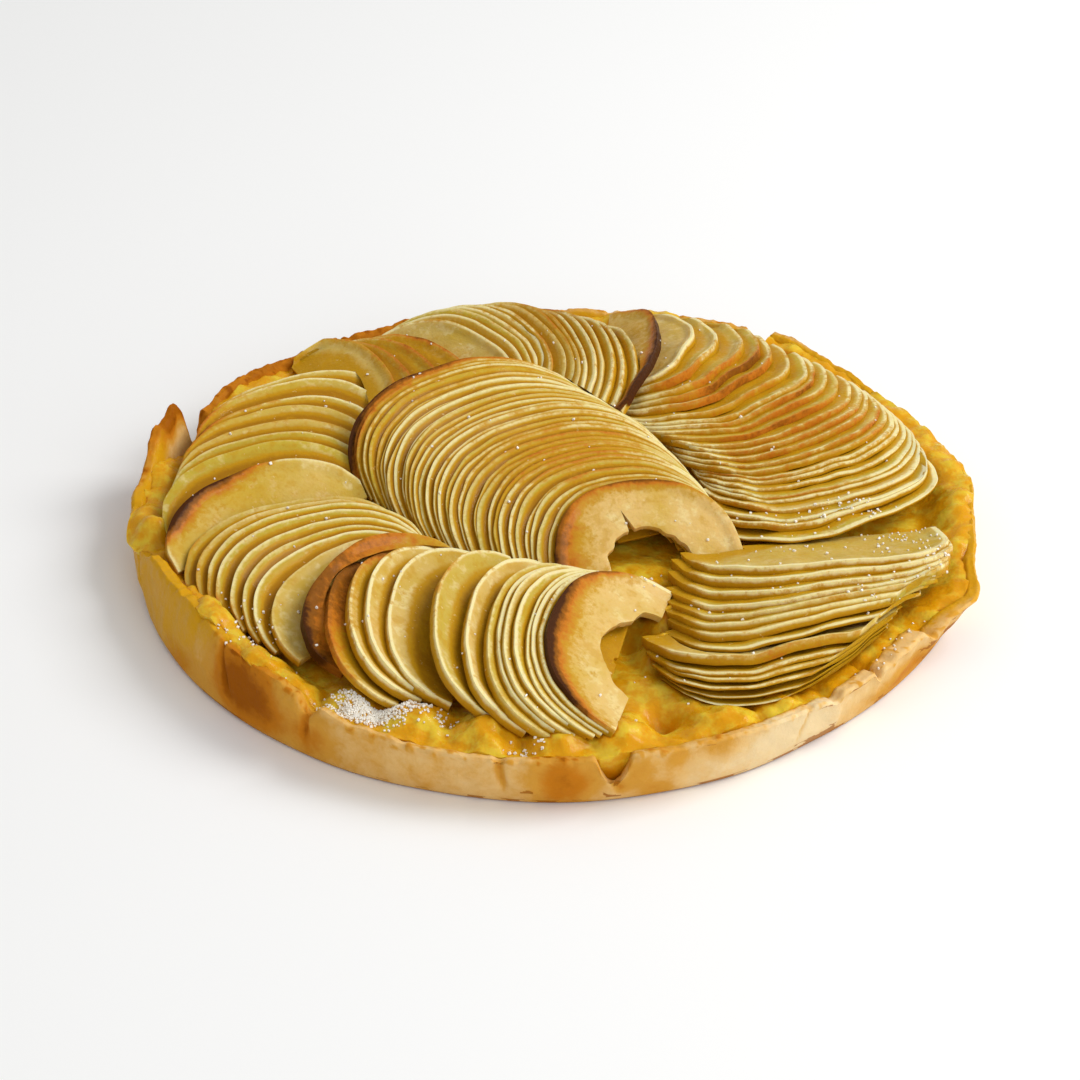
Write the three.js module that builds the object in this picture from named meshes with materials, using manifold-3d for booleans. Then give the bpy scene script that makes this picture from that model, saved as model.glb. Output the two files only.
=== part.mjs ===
// Open apple tart: a low torn-edged pastry case, a bed of apple compote and fans
// of thinly sliced half apples laid round a centre fan.
// Millimetres, +Z up, origin at the centre of the flat base.
import * as THREE from 'three';
import Module from 'manifold-3d';
import { mergeVertices } from 'three/addons/utils/BufferGeometryUtils.js';

const wasm = await Module();
wasm.setup();

// Pastry case.
const baseRadius = 118.5;
const rimRadius = 119.5;
const rimHeight = 17.2;
const rimThickness = 3.6;
const floorThickness = 3.6;
const baseEdgeRound = 2.4;
const caseSteps = 150;

// Where the wall rises, sinks, leans, thickens or tears: degrees round the case, half
// width in degrees, change of height, of radius and of thickness at the top.
const rimSwells = [
  { at: 163, spread: 6.5, rise: 10.5, out: 2.2, thick: 0 },
  { at: 180, spread: 13, rise: 0.8, out: 4.2, thick: 0.8 },
  { at: -150, spread: 16, rise: 4.4, out: -3.4, thick: 1.2 },
  { at: -128, spread: 8, rise: 2.2, out: -1.0, thick: 0.6 },
  { at: -97, spread: 22, rise: -1.6, out: 1.4, thick: 0.4 },
  { at: -48, spread: 20, rise: -2.6, out: -1.8, thick: 1.2 },
  { at: -32, spread: 12, rise: 0, out: 0, thick: 1.6 },
  { at: -21, spread: 6.5, rise: -0.6, out: 6.0, thick: 0.4 },
  { at: -9, spread: 7, rise: 1.4, out: 1.2, thick: 0 },
  { at: 6, spread: 8, rise: 0.6, out: 2.8, thick: 0 },
  { at: 30, spread: 10, rise: -1.6, out: 0.6, thick: 0 },
  { at: 54, spread: 9, rise: 2.6, out: 0.4, thick: 0 },
  { at: 88, spread: 12, rise: -1.4, out: 0, thick: 0 },
  { at: 147, spread: 9, rise: 2.6, out: 0.8, thick: 0 },
];
const rimTears = [
  { at: 157.6, halfWidth: 3.0, depth: 10.5 },
  { at: -171, halfWidth: 6.0, depth: 3.2 },
  { at: 57, halfWidth: 2.4, depth: 8.0 },
  { at: -83, halfWidth: 2.4, depth: 8.5 },
  { at: -29, halfWidth: 3.0, depth: 3.0 },
  { at: -124, halfWidth: 1.8, depth: 3.5 },
];
const baseFlats = [
  { at: -45, spread: 28, depth: 4.0 },
  { at: -165, spread: 21, depth: -1.7 },
];

// Compote bed under the fans.
const bedTop = 12.0;
const bedClearance = 0.35;
const bedGap = 2.2;
const wallGap = 1.0;
const bedBelowRim = 1.3;
const bedHighest = 19.0;
const bedDip = { at: 161, spread: 8, share: 0.85 };
const bedSteps = 64;
const bedShares = [1, 0.95, 0.91, 0.86, 0.8, 0.6, 0.35];
const bedMounds = [
  { x: 24, y: -43, spread: 14, rise: 4.6 },
  { x: 39, y: -96, spread: 15, rise: 3.4 },
  { x: -47, y: -99, spread: 16, rise: 2.6 },
  { x: -74, y: 79, spread: 15, rise: 3.0 },
  { x: 22, y: 103, spread: 14, rise: 2.4 },
];

// Apple slices.
const sliceRoundness = 2.3;
const sliceThickness = 2.0;
const riseVariation = 1.1;
const widthVariation = 1.4;
const fanFloor = 12.4;
const wallClearRadius = 113.6;
const fanGap = 0.7;
const rimPoints = 13;

// A fan is a row of slices that have toppled like dominoes, or one slice that lies
// apart. Over lists what lies over it. A station gives one slice: its place along
// the row from 0 to 1, the middle of its cut edge, the turn of that edge in degrees,
// its width and rise, its lean from the horizontal, and how far its crown is pushed
// along the cut edge.
const fans = [
  {
    name: 'fan_centre', slices: 20, seed: 11, over: [],
    stations: [
      { at: 0, x: -22, y: 28, z: 15.4, turn: 32, width: 82, rise: 34, lean: 29, push: 0 },
      { at: 0.5, x: 3, y: -2, z: 15.6, turn: 29, width: 78, rise: 33, lean: 28, push: 0 },
      { at: 1, x: 26, y: -32, z: 16, turn: 15, width: 54, rise: 28, lean: 27, push: 0 },
    ],
    core: { width: 23, rise: 11, length: 20 },
  },
  {
    name: 'fan_front', slices: 14, seed: 12, over: ['fan_centre'],
    stations: [
      { at: 0, x: -43, y: -64, z: 14.5, turn: 91, width: 64, rise: 22.5, lean: 26, push: 0 },
      { at: 0.155, x: -31, y: -61, z: 14.8, turn: 87, width: 70, rise: 22.6, lean: 25, push: 0 },
      { at: 0.23, x: -24, y: -63, z: 14.9, turn: 85, width: 71, rise: 23, lean: 23, push: 0 },
      { at: 0.31, x: -14, y: -68, z: 15, turn: 84, width: 76, rise: 23.5, lean: 31, push: 0 },
      { at: 0.39, x: -3, y: -73, z: 15, turn: 83, width: 76, rise: 23.5, lean: 28, push: 0 },
      { at: 0.62, x: 9.5, y: -76, z: 16, turn: 81, width: 72, rise: 25.7, lean: 27, push: 0 },
      { at: 1, x: 22, y: -80, z: 17, turn: 76, width: 66, rise: 28.5, lean: 27, push: 0 },
    ],
    core: { width: 25, rise: 12, length: 18 },
  },
  {
    name: 'slice_front_left', slices: 1, seed: 20, toasted: true,
    over: ['fan_centre', 'fan_front'],
    stations: [
      { at: 0, x: -44, y: -56, z: 16.8, turn: 65, width: 65, rise: 23, lean: 18.5, push: 0 },
    ],
  },
  {
    name: 'fan_left_front', slices: 8, seed: 13,
    over: ['fan_centre', 'fan_front', 'slice_front_left'],
    stations: [
      { at: 0, x: -71, y: -31, z: 15, turn: 24, width: 67, rise: 26, lean: 16, push: 0 },
      { at: 0.45, x: -62, y: -42, z: 15, turn: 30, width: 65, rise: 26.5, lean: 18.5, push: 0 },
      { at: 0.7, x: -57, y: -48, z: 15, turn: 38, width: 62, rise: 26, lean: 19, push: 0 },
      { at: 1, x: -51, y: -54, z: 15, turn: 52, width: 60, rise: 24, lean: 17, push: 0 },
    ],
  },
  {
    name: 'fan_left_back', slices: 8, seed: 14, over: ['fan_centre', 'fan_left_front'],
    stations: [
      { at: 0, x: -75, y: 41, z: 15, turn: 35, width: 66, rise: 24.5, lean: 16, push: 0 },
      { at: 0.38, x: -79, y: 21, z: 15, turn: 30, width: 61, rise: 25, lean: 15.5, push: 0 },
      { at: 0.72, x: -82, y: 4, z: 15, turn: 24, width: 61, rise: 25, lean: 17, push: 0 },
      { at: 1, x: -81, y: -14, z: 15, turn: 38, width: 66, rise: 23, lean: 27, push: 0 },
    ],
  },
  {
    name: 'slices_back_left', slices: 4, seed: 15, over: ['fan_centre', 'fan_left_back'],
    stations: [
      { at: 0, x: -51, y: 63, z: 15.8, turn: -48, width: 56, rise: 23, lean: 18, push: 0 },
      { at: 0.4, x: -60, y: 60, z: 15.4, turn: -58, width: 56, rise: 23, lean: 19, push: 0 },
      { at: 1, x: -72, y: 61, z: 14.8, turn: -62, width: 56, rise: 22, lean: 19, push: 0 },
    ],
  },
  {
    name: 'slice_back_right', slices: 1, seed: 21, toasted: true,
    over: ['fan_centre', 'fan_back'],
    stations: [
      { at: 0, x: 10.5, y: 71.4, z: 16, turn: -102, width: 77, rise: 24, lean: 28, push: 0 },
    ],
  },
  {
    name: 'fan_back', slices: 15, seed: 16, over: ['fan_centre', 'slices_back_left'],
    stations: [
      { at: 0, x: 6, y: 66, z: 15, turn: -88, width: 68, rise: 22.5, lean: 30, push: 0 },
      { at: 0.28, x: -8, y: 73, z: 15, turn: -79, width: 70, rise: 22.7, lean: 29, push: 0 },
      { at: 0.5, x: -18, y: 77, z: 15, turn: -67, width: 68, rise: 23.5, lean: 25, push: 0 },
      { at: 0.72, x: -30, y: 79, z: 15, turn: -54, width: 60, rise: 25, lean: 21, push: 0 },
      { at: 1, x: -37, y: 67, z: 15.8, turn: -48, width: 61, rise: 23.5, lean: 26, push: 0 },
    ],
  },
  {
    name: 'fan_right', slices: 24, seed: 17,
    over: ['fan_centre', 'fan_back', 'slice_back_right'],
    stations: [
      { at: 0, x: 71, y: 13, z: 14.8, turn: 216, width: 76, rise: 34, lean: 11, push: -0.1 },
      { at: 0.17, x: 73, y: 30, z: 15.2, turn: 208, width: 70, rise: 33, lean: 11, push: 0.1 },
      { at: 0.35, x: 68, y: 41, z: 15.2, turn: 210, width: 68, rise: 32, lean: 13, push: 0.1 },
      { at: 0.55, x: 59, y: 57, z: 15.2, turn: 208, width: 68, rise: 31.5, lean: 13, push: 0.15 },
      { at: 0.75, x: 42, y: 71, z: 15.2, turn: 218, width: 70, rise: 31, lean: 14, push: 0.1 },
      { at: 0.9, x: 33, y: 83, z: 15, turn: 232, width: 62, rise: 28, lean: 18, push: 0.3 },
      { at: 1, x: 22, y: 90, z: 14.8, turn: 250, width: 50, rise: 25, lean: 20, push: 0.35 },
    ],
  },
  {
    name: 'fan_front_right', slices: 8, seed: 18, over: ['fan_centre', 'fan_front', 'fan_right'],
    roundness: 3.2,
    stations: [
      { at: 0, x: 63, y: -50, z: 15.9, turn: 203, width: 72, rise: 26.5, lean: 16, push: 0 },
      { at: 0.4, x: 67, y: -40, z: 16, turn: 199, width: 77, rise: 26.6, lean: 19, push: -0.05 },
      { at: 0.7, x: 69, y: -30, z: 16, turn: 194, width: 79, rise: 28, lean: 17, push: -0.1 },
      { at: 1, x: 71, y: -20, z: 16, turn: 190, width: 76, rise: 27.5, lean: 18, push: -0.1 },
    ],
  },
  {
    name: 'slices_front_right', slices: 6, seed: 19,
    over: ['fan_centre', 'fan_front', 'fan_front_right'],
    roundness: 3.2,
    stations: [
      { at: 0, x: 57, y: -66, z: 14, turn: 206, width: 64, rise: 26.5, lean: 6, push: 0 },
      { at: 0.4, x: 57, y: -63, z: 14.8, turn: 203, width: 68, rise: 27, lean: 10, push: 0 },
      { at: 1, x: 57, y: -56, z: 15.4, turn: 201, width: 72, rise: 28, lean: 15, push: -0.1 },
    ],
  },
];

const colours = {
  crust: 0xd8a05c,
  compote: 0xd9a81e,
  apple: 0xd6bd78,
  toastedApple: 0xb98a4a,
};

// Repeatable random numbers from 0 to 1.
function seededRandom(seed) {
  let state = seed * 2654435761 % 4294967296;
  return () => {
    state = (state + 0x6d2b79f5) | 0;
    let mixed = Math.imul(state ^ (state >>> 15), 1 | state);
    mixed = (mixed + Math.imul(mixed ^ (mixed >>> 7), 61 | mixed)) ^ mixed;
    return ((mixed ^ (mixed >>> 14)) >>> 0) / 4294967296;
  };
}

// A smooth uneven line round the case, about -1 to 1.
function waveRound(seed, counts) {
  const random = seededRandom(seed);
  const waves = counts.map((count) => ({ count, phase: random() * 2 * Math.PI }));
  const share = 1 / Math.sqrt(counts.length);
  return (angle) => share * waves.reduce(
    (sum, wave) => sum + Math.sin(wave.count * angle + wave.phase), 0);
}

function degreesApart(degrees, at) {
  const gap = ((degrees - at) % 360 + 540) % 360 - 180;
  return Math.abs(gap);
}

function bell(degrees, at, spread) {
  const ratio = degreesApart(degrees, at) / spread;
  return Math.exp(-ratio * ratio);
}

// One closed mesh from corner points and triangles, with shared corners merged.
function closedGeometry(points, triangles) {
  const geometry = new THREE.BufferGeometry();
  const corners = triangles.flatMap((triangle) => triangle.flatMap((index) => points[index]));
  geometry.setAttribute('position', new THREE.Float32BufferAttribute(corners, 3));
  return mergeVertices(geometry, 1e-5);
}

function toSolid(geometry) {
  const plain = geometry.clone();
  plain.deleteAttribute('normal');
  plain.deleteAttribute('uv');
  const merged = mergeVertices(plain, 1e-5);
  return new wasm.Manifold(new wasm.Mesh({
    numProp: 3,
    vertProperties: new Float32Array(merged.attributes.position.array),
    triVerts: new Uint32Array(merged.index.array),
  }));
}

// The largest body of a solid, as a geometry.
function toGeometry(solid) {
  const bodies = solid.decompose();
  const largest = bodies.reduce((best, body) => (body.volume() > best.volume() ? body : best));
  const mesh = largest.getMesh();
  const geometry = new THREE.BufferGeometry();
  geometry.setAttribute('position', new THREE.BufferAttribute(mesh.vertProperties, 3));
  geometry.setIndex(new THREE.BufferAttribute(mesh.triVerts, 1));
  geometry.computeVertexNormals();
  return geometry;
}

// Surface through rings of equal length that each close on themselves, shut at
// both ends by a centre point.
function ringSolid(rings, firstCentre, lastCentre) {
  const count = rings[0].length;
  const points = rings.flat();
  const firstIndex = points.push(firstCentre) - 1;
  const lastIndex = points.push(lastCentre) - 1;
  const lastRing = (rings.length - 1) * count;
  const triangles = [];
  for (let step = 0; step < count; step += 1) {
    const next = (step + 1) % count;
    triangles.push([firstIndex, next, step]);
    triangles.push([lastIndex, lastRing + step, lastRing + next]);
    for (let ring = 0; ring < rings.length - 1; ring += 1) {
      const low = ring * count;
      const high = low + count;
      triangles.push([low + step, low + next, high + next]);
      triangles.push([low + step, high + next, high + step]);
    }
  }
  return closedGeometry(points, triangles);
}

// Height, radius and thickness of the torn top edge at one place round the case.
const rimWobble = waveRound(3, [5, 9, 14, 23]);
const rimCrumble = waveRound(4, [37, 53, 71, 88]);
function rimAt(degrees) {
  const angle = THREE.MathUtils.degToRad(degrees);
  let height = rimHeight + 0.7 * rimWobble(angle) + 0.75 * rimCrumble(angle);
  let radius = rimRadius + 0.5 * rimWobble(angle + 2);
  let thickness = rimThickness;
  rimSwells.forEach((swell) => {
    const amount = bell(degrees, swell.at, swell.spread);
    height += swell.rise * amount;
    radius += swell.out * amount;
    thickness += swell.thick * amount;
  });
  rimTears.forEach((tear) => {
    const ratio = degreesApart(degrees, tear.at) / tear.halfWidth;
    height -= tear.depth * Math.max(0, 1 - ratio * ratio);
  });
  return { height, radius, thickness };
}

const baseWobble = waveRound(5, [3, 7, 12]);
function baseRadiusAt(degrees) {
  const wobble = 0.5 * baseWobble(THREE.MathUtils.degToRad(degrees));
  return baseFlats.reduce(
    (radius, flat) => radius - flat.depth * bell(degrees, flat.at, flat.spread),
    baseRadius + wobble);
}

function crustGeometry() {
  // Radius and height of each ring, from the foot up over the rim and down to the floor.
  const outlineAt = (base, rim) => [
    [base - baseEdgeRound, 0],
    [base, baseEdgeRound * 0.7],
    [base + 0.35 * (rim.radius - base) + 0.4, 0.45 * rim.height],
    [base + 0.75 * (rim.radius - base), 0.8 * rim.height],
    [rim.radius - 0.7, rim.height],
    [rim.radius - rim.thickness + 0.8, rim.height - 0.5],
    [base + 0.7 * (rim.radius - base) - rim.thickness - 0.4, 0.75 * rim.height],
    [base - rim.thickness - 1.4, floorThickness + 1.6],
    [base - rim.thickness - 5, floorThickness],
  ];
  const outlines = Array.from({ length: caseSteps }, (_, step) => {
    const degrees = 360 * step / caseSteps - 180;
    const angle = THREE.MathUtils.degToRad(degrees);
    const outline = outlineAt(baseRadiusAt(degrees), rimAt(degrees));
    return outline.map(([radius, height]) => (
      [radius * Math.cos(angle), radius * Math.sin(angle), height]));
  });
  const rings = outlines[0].map((_, ring) => outlines.map((outline) => outline[ring]));
  return ringSolid(rings, [0, 0, 0], [0, 0, floorThickness]);
}

// Radius of the inside of the wall at a height, between the profile's inner rings.
function innerRadiusAt(degrees, height) {
  const base = baseRadiusAt(degrees);
  const rim = rimAt(degrees);
  const foot = base - rim.thickness - 1.4;
  const shoulder = base + 0.7 * (rim.radius - base) - rim.thickness - 0.4;
  const share = (height - floorThickness - 1.6) / (0.75 * rim.height - floorThickness - 1.6);
  return foot + (shoulder - foot) * THREE.MathUtils.clamp(share, 0, 1);
}

// Height of the compote: level under the fans, up to the rim along the wall and in
// mounds between the fans, with gentle lumps.
function bedHeightAt(x, y, share) {
  const degrees = THREE.MathUtils.radToDeg(Math.atan2(y, x));
  const dip = bedDip.share * bell(degrees, bedDip.at, bedDip.spread);
  const rimRise = (1 - dip) * (Math.min(rimAt(degrees).height - bedBelowRim, bedHighest) - bedTop);
  const slow = Math.sin(0.11 * x + 1.3) * Math.sin(0.13 * y - 0.4);
  const quick = Math.sin(0.37 * x - 0.8) * Math.sin(0.41 * y + 2.1);
  const edge = THREE.MathUtils.smoothstep(share, 0.85, 0.98);
  const mounds = bedMounds.map((mound) => {
    const ratio = Math.hypot(x - mound.x, y - mound.y) / mound.spread;
    return mound.rise * Math.exp(-ratio * ratio);
  });
  const raised = Math.max(rimRise * edge, ...mounds);
  const lumps = (0.6 * slow + 0.4 * quick) * Math.min(1, Math.max(0, raised) / 2);
  return bedTop + raised + lumps;
}

function compoteGeometry() {
  const ringAt = (radiusAt, heightAt) => Array.from({ length: bedSteps }, (_, step) => {
    const degrees = 360 * step / bedSteps - 180;
    const angle = THREE.MathUtils.degToRad(degrees);
    const radius = radiusAt(degrees);
    const x = radius * Math.cos(angle);
    const y = radius * Math.sin(angle);
    return [x, y, heightAt(x, y, degrees)];
  });
  const clear = (height) => (degrees) => innerRadiusAt(degrees, height) - wallGap;
  const rings = [
    ringAt((degrees) => clear(floorThickness)(degrees) - 4, () => floorThickness + bedClearance),
    ringAt(clear(floorThickness + 2), () => floorThickness + 2.2),
    ...bedShares.map((share) => ringAt(
      (degrees) => share * clear(bedTop)(degrees),
      (x, y) => bedHeightAt(x, y, share))),
  ];
  return ringSolid(rings, [0, 0, floorThickness + bedClearance], [0, 0, bedTop]);
}

// The slice at a place along a fan, read smoothly between the fan's stations.
const stationKeys = ['x', 'y', 'z', 'turn', 'width', 'rise', 'lean', 'push'];
function stationReader(fan) {
  const times = fan.stations.map((station) => station.at);
  const values = fan.stations.flatMap((station) => stationKeys.map((key) => station[key]));
  const curve = new THREE.CubicInterpolant(times, values, stationKeys.length);
  return (at) => {
    const result = curve.evaluate(at);
    return Object.fromEntries(stationKeys.map((key, index) => [key, result[index]]));
  };
}

// The three directions of a slice: along its cut edge, up its face, and out of its
// upper face.
function sliceAxes(slice) {
  const turn = THREE.MathUtils.degToRad(slice.turn);
  const lean = THREE.MathUtils.degToRad(slice.lean);
  const along = new THREE.Vector3(Math.cos(turn), Math.sin(turn), 0);
  const level = new THREE.Vector3(-Math.sin(turn), Math.cos(turn), 0);
  const up = level.clone().multiplyScalar(Math.cos(lean));
  up.z = Math.sin(lean);
  const out = level.multiplyScalar(-Math.sin(lean));
  out.z = Math.cos(lean);
  return { along, up, out };
}

// Points of a slice's rounded rim, from one end of the cut edge to the other, with
// both ends carried down to the fan's floor.
function rimRow(slice, lift, grow) {
  const { along, up, out } = sliceAxes(slice);
  const middle = new THREE.Vector3(slice.x, slice.y, slice.z).addScaledVector(out, lift);
  const row = Array.from({ length: rimPoints }, (_, index) => {
    const angle = Math.PI * (1 - index / (rimPoints - 1));
    const cosine = Math.cos(angle);
    const side = Math.sign(cosine) * Math.abs(cosine) ** (2 / slice.roundness);
    const height = (slice.rise + grow) * Math.sin(angle) ** (2 / slice.roundness);
    const across = side * (slice.width / 2 + grow) + slice.push * height;
    const point = middle.clone().addScaledVector(along, across).addScaledVector(up, height);
    return [point.x, point.y, point.z];
  });
  const floor = fanFloor - grow;
  const first = row[0];
  const last = row[row.length - 1];
  return [[first[0], first[1], floor], ...row, [last[0], last[1], floor]];
}

// One closed surface over rows of rim points. The rows run from the foremost slice
// to the last; each end is closed across from side to side.
function rowSolid(rows) {
  const count = rows[0].length;
  const points = rows.flat();
  const triangles = [];
  const quad = (a, b, c, d) => triangles.push([a, b, c], [a, c, d]);
  for (let row = 0; row < rows.length - 1; row += 1) {
    const low = row * count;
    const high = low + count;
    for (let index = 0; index < count - 1; index += 1) {
      quad(low + index, high + index, high + index + 1, low + index + 1);
    }
    quad(low + count - 1, high + count - 1, high, low);
  }
  const top = (rows.length - 1) * count;
  for (let index = 0; index < Math.floor(count / 2); index += 1) {
    const other = count - 1 - index;
    const joins = other - index;
    if (joins > 2) {
      quad(index, index + 1, other - 1, other);
      quad(top + other, top + other - 1, top + index + 1, top + index);
    } else if (joins === 2) {
      triangles.push([index, index + 1, other]);
      triangles.push([top + other, top + index + 1, top + index]);
    }
  }
  return toSolid(closedGeometry(points, triangles));
}

// The slices of a fan from its foremost to its last, uneven by a little, each with
// the thickness that its lean and the step to its neighbours leave it.
function fanSlices(fan) {
  const read = stationReader(fan);
  const random = seededRandom(fan.seed);
  const lastIndex = fan.slices - 1;
  const places = Math.max(1, lastIndex);
  return Array.from({ length: fan.slices }, (_, index) => {
    const slice = read(index / places);
    slice.rise += riseVariation * (random() - 0.5);
    slice.width += widthVariation * (random() - 0.5);
    const ahead = read(Math.min(1, (index + 0.5) / places));
    const behind = read(Math.max(0, (index - 0.5) / places));
    const step = Math.hypot(ahead.x - behind.x, ahead.y - behind.y);
    const spacing = step * Math.sin(THREE.MathUtils.degToRad(slice.lean));
    const snug = Math.min(sliceThickness, 0.9 * spacing + 0.15);
    slice.thickness = index === lastIndex ? sliceThickness : snug;
    slice.roundness = fan.roundness ?? sliceRoundness;
    return slice;
  });
}

// The fan as it shows: every slice has a rim and a strip of its upper face.
function fanSolid(fan) {
  const slices = fanSlices(fan);
  const rows = slices.flatMap((slice) => [rimRow(slice, 0, 0), rimRow(slice, slice.thickness, 0)]);
  const solid = rowSolid(rows);
  return fan.core ? solid.subtract(coreSolid(fan, slices[fan.slices - 1])) : solid;
}

// The hollow left by the apple's core in the last, fully seen slice of a fan.
function coreSolid(fan, slice) {
  const { along, up, out } = sliceAxes(slice);
  const core = new THREE.SphereGeometry(1, 14, 8);
  core.scale(fan.core.width / 2, fan.core.rise, fan.core.length / 2);
  core.applyMatrix4(new THREE.Matrix4().makeBasis(along, up, out));
  core.translate(slice.x, slice.y, slice.z);
  return toSolid(core);
}

// A slightly larger copy of a fan, which clears its neighbours: wider slices, under
// a smooth cover that passes over all their top edges.
function fanClearance(fan) {
  const slices = fanSlices(fan);
  const wide = slices.flatMap(
    (slice) => [rimRow(slice, 0, fanGap), rimRow(slice, slice.thickness, fanGap)]);
  const cover = slices.map((slice) => rimRow(slice, slice.thickness + fanGap, fanGap));
  return rowSolid(wide).add(rowSolid([rimRow(slices[0], -fanGap, fanGap), ...cover]));
}

// The hollow that a fan lies in: a space a little larger than its slices, which passes
// at one lift from the face of every second slice.
function fanHollow(fan, lift) {
  const slices = fanSlices(fan);
  const last = slices[slices.length - 1];
  const everySecond = slices.filter((_, index) => index % 2 === 0);
  const rows = everySecond.map((slice) => rimRow(slice, lift, bedGap));
  return rowSolid([rimRow(slices[0], -bedGap, bedGap), ...rows,
    rimRow(last, last.thickness + bedGap, bedGap)]);
}

// The round space inside the wall that the fans keep to.
function insideWall() {
  const drum = new THREE.CylinderGeometry(wallClearRadius, wallClearRadius, 80, 48);
  drum.rotateX(Math.PI / 2);
  return toSolid(drum);
}

const tart = new THREE.Group();

function addPiece(name, geometry, color, roughness) {
  const material = new THREE.MeshStandardMaterial({ color, roughness, metalness: 0 });
  const mesh = new THREE.Mesh(geometry, material);
  mesh.name = name;
  tart.add(mesh);
}

addPiece('crust', crustGeometry(), colours.crust, 0.7);

const drum = insideWall();
const clearances = new Map(fans.map((fan) => [fan.name, fanClearance(fan)]));
fans.forEach((fan) => {
  let solid = fanSolid(fan).intersect(drum);
  fan.over.forEach((name) => {
    solid = solid.subtract(clearances.get(name));
  });
  const colour = fan.toasted ? colours.toastedApple : colours.apple;
  addPiece(fan.name, toGeometry(solid), colour, 0.4);
});

let bed = toSolid(compoteGeometry());
fans.forEach((fan) => {
  bed = bed.subtract(fanHollow(fan, -0.3 * bedGap)).subtract(fanHollow(fan, bedGap));
});
addPiece('compote', toGeometry(bed), colours.compote, 0.35);

export default tart;
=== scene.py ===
import math
import random

import bmesh
import bpy
import numpy as np
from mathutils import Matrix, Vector, noise
from mathutils.bvhtree import BVHTree


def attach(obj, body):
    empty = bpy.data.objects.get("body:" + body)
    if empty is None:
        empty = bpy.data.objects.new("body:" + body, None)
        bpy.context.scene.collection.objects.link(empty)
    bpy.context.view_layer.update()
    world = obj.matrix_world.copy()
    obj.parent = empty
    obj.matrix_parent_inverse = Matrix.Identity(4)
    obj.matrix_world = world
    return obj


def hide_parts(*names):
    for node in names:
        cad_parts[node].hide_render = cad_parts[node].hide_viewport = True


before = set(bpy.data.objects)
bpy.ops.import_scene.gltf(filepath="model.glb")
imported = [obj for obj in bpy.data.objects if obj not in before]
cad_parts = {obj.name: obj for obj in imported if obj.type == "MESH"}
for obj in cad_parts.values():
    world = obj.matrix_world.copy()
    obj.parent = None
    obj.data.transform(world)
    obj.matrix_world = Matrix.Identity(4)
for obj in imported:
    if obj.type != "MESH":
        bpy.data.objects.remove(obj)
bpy.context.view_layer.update()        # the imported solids: crust, compote and the fans of slices
body = "root"


def deselectAll():
    if bpy.context.object and bpy.context.object.mode != "OBJECT":
        bpy.ops.object.mode_set(mode="OBJECT")
    bpy.ops.object.select_all(action="DESELECT")


def takeUp(piece):
    # make one piece the only selected and active one
    deselectAll()
    piece.select_set(True)
    bpy.context.view_layer.objects.active = piece


def applyModifier(piece, kind, **settings):
    takeUp(piece)
    modifier = piece.modifiers.new(kind.lower(), kind)
    for key, value in settings.items():
        setattr(modifier, key, value)
    bpy.ops.object.modifier_apply(modifier=modifier.name)


def editAll():
    bpy.ops.object.mode_set(mode="EDIT")
    bpy.ops.mesh.select_all(action="SELECT")


def startRing(name, count, radius):
    # a ring of points, left in edit mode with all of it selected
    deselectAll()
    bpy.ops.mesh.primitive_circle_add(vertices=count, radius=radius, fill_type="NOTHING",
                                      location=(0, 0, 0))
    bpy.context.object.name = name
    editAll()
    return bpy.context.object


def extrude(rise=0):
    bpy.ops.mesh.extrude_region_move(TRANSFORM_OT_translate={"value": (0, 0, rise)})


def drawIn(radii, height=0):
    # rows of faces from the selected ring towards the middle
    for outer, inner in zip(radii, radii[1:]):
        extrude()
        bpy.ops.transform.resize(value=(inner / outer, inner / outer, 1),
                                 center_override=(0, 0, height))


def turnOutwards():
    bpy.ops.mesh.select_all(action="SELECT")
    bpy.ops.mesh.normals_make_consistent(inside=False)
    bpy.ops.object.mode_set(mode="OBJECT")


def smoothShade(degrees):
    bpy.ops.object.shade_smooth_by_angle(angle=math.radians(degrees))


def makePiece(name, corners, faces):
    mesh = bpy.data.meshes.new(name)
    mesh.from_pydata(corners, [], faces)
    piece = bpy.data.objects.new(name, mesh)
    bpy.context.collection.objects.link(piece)
    return piece


def readPoints(piece, kind="co"):
    # the places of all points, or with "normal" their normals
    values = np.zeros(len(piece.data.vertices) * 3)
    piece.data.vertices.foreach_get(kind, values)
    return values.reshape(-1, 3)


def writePoints(piece, points):
    piece.data.vertices.foreach_set("co", np.ascontiguousarray(points, dtype=np.float32).ravel())
    piece.data.update()


def paint(piece, **layers):
    # numbers for each point, which a material reads by name
    for name, values in layers.items():
        layer = piece.data.attributes.new(name, "FLOAT", "POINT")
        layer.data.foreach_set("value", np.ascontiguousarray(values, dtype=np.float32))


def smooth(values, low, high):
    share = np.clip((values - low) / (high - low), 0, 1)
    return share * share * (3 - 2 * share)


def bell(values, middle, width):
    return np.exp(-((values - middle) / width) ** 2)


def turnOf(points):
    return np.degrees(np.arctan2(points[:, 1], points[:, 0]))


def turnApart(degrees, at):
    return np.abs((degrees - at + 540) % 360 - 180)


def nearTurn(degrees, at, width):
    return bell(turnApart(degrees, at), 0, width)


def nearSpot(points, x, y, width):
    return bell(np.hypot(points[:, 0] - x, points[:, 1] - y), 0, width)


def ringAt(degrees, radius):
    turn = np.radians(degrees)
    return np.stack([radius * np.cos(turn), radius * np.sin(turn), 0 * turn], 1)


def noiseAt(points, size, seed=0.0, layers=1):
    # smooth noise about -1 to 1 at points given in metres
    shift = Vector((seed * 7.31, seed * 3.17, seed * 5.77))
    values = np.zeros(len(points))
    for layer in range(layers):
        scale = 2 ** layer / size
        drawn = [noise.noise(Vector(point) * scale + shift) for point in points]
        values += np.array(drawn) / 2 ** layer
    return values


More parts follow.
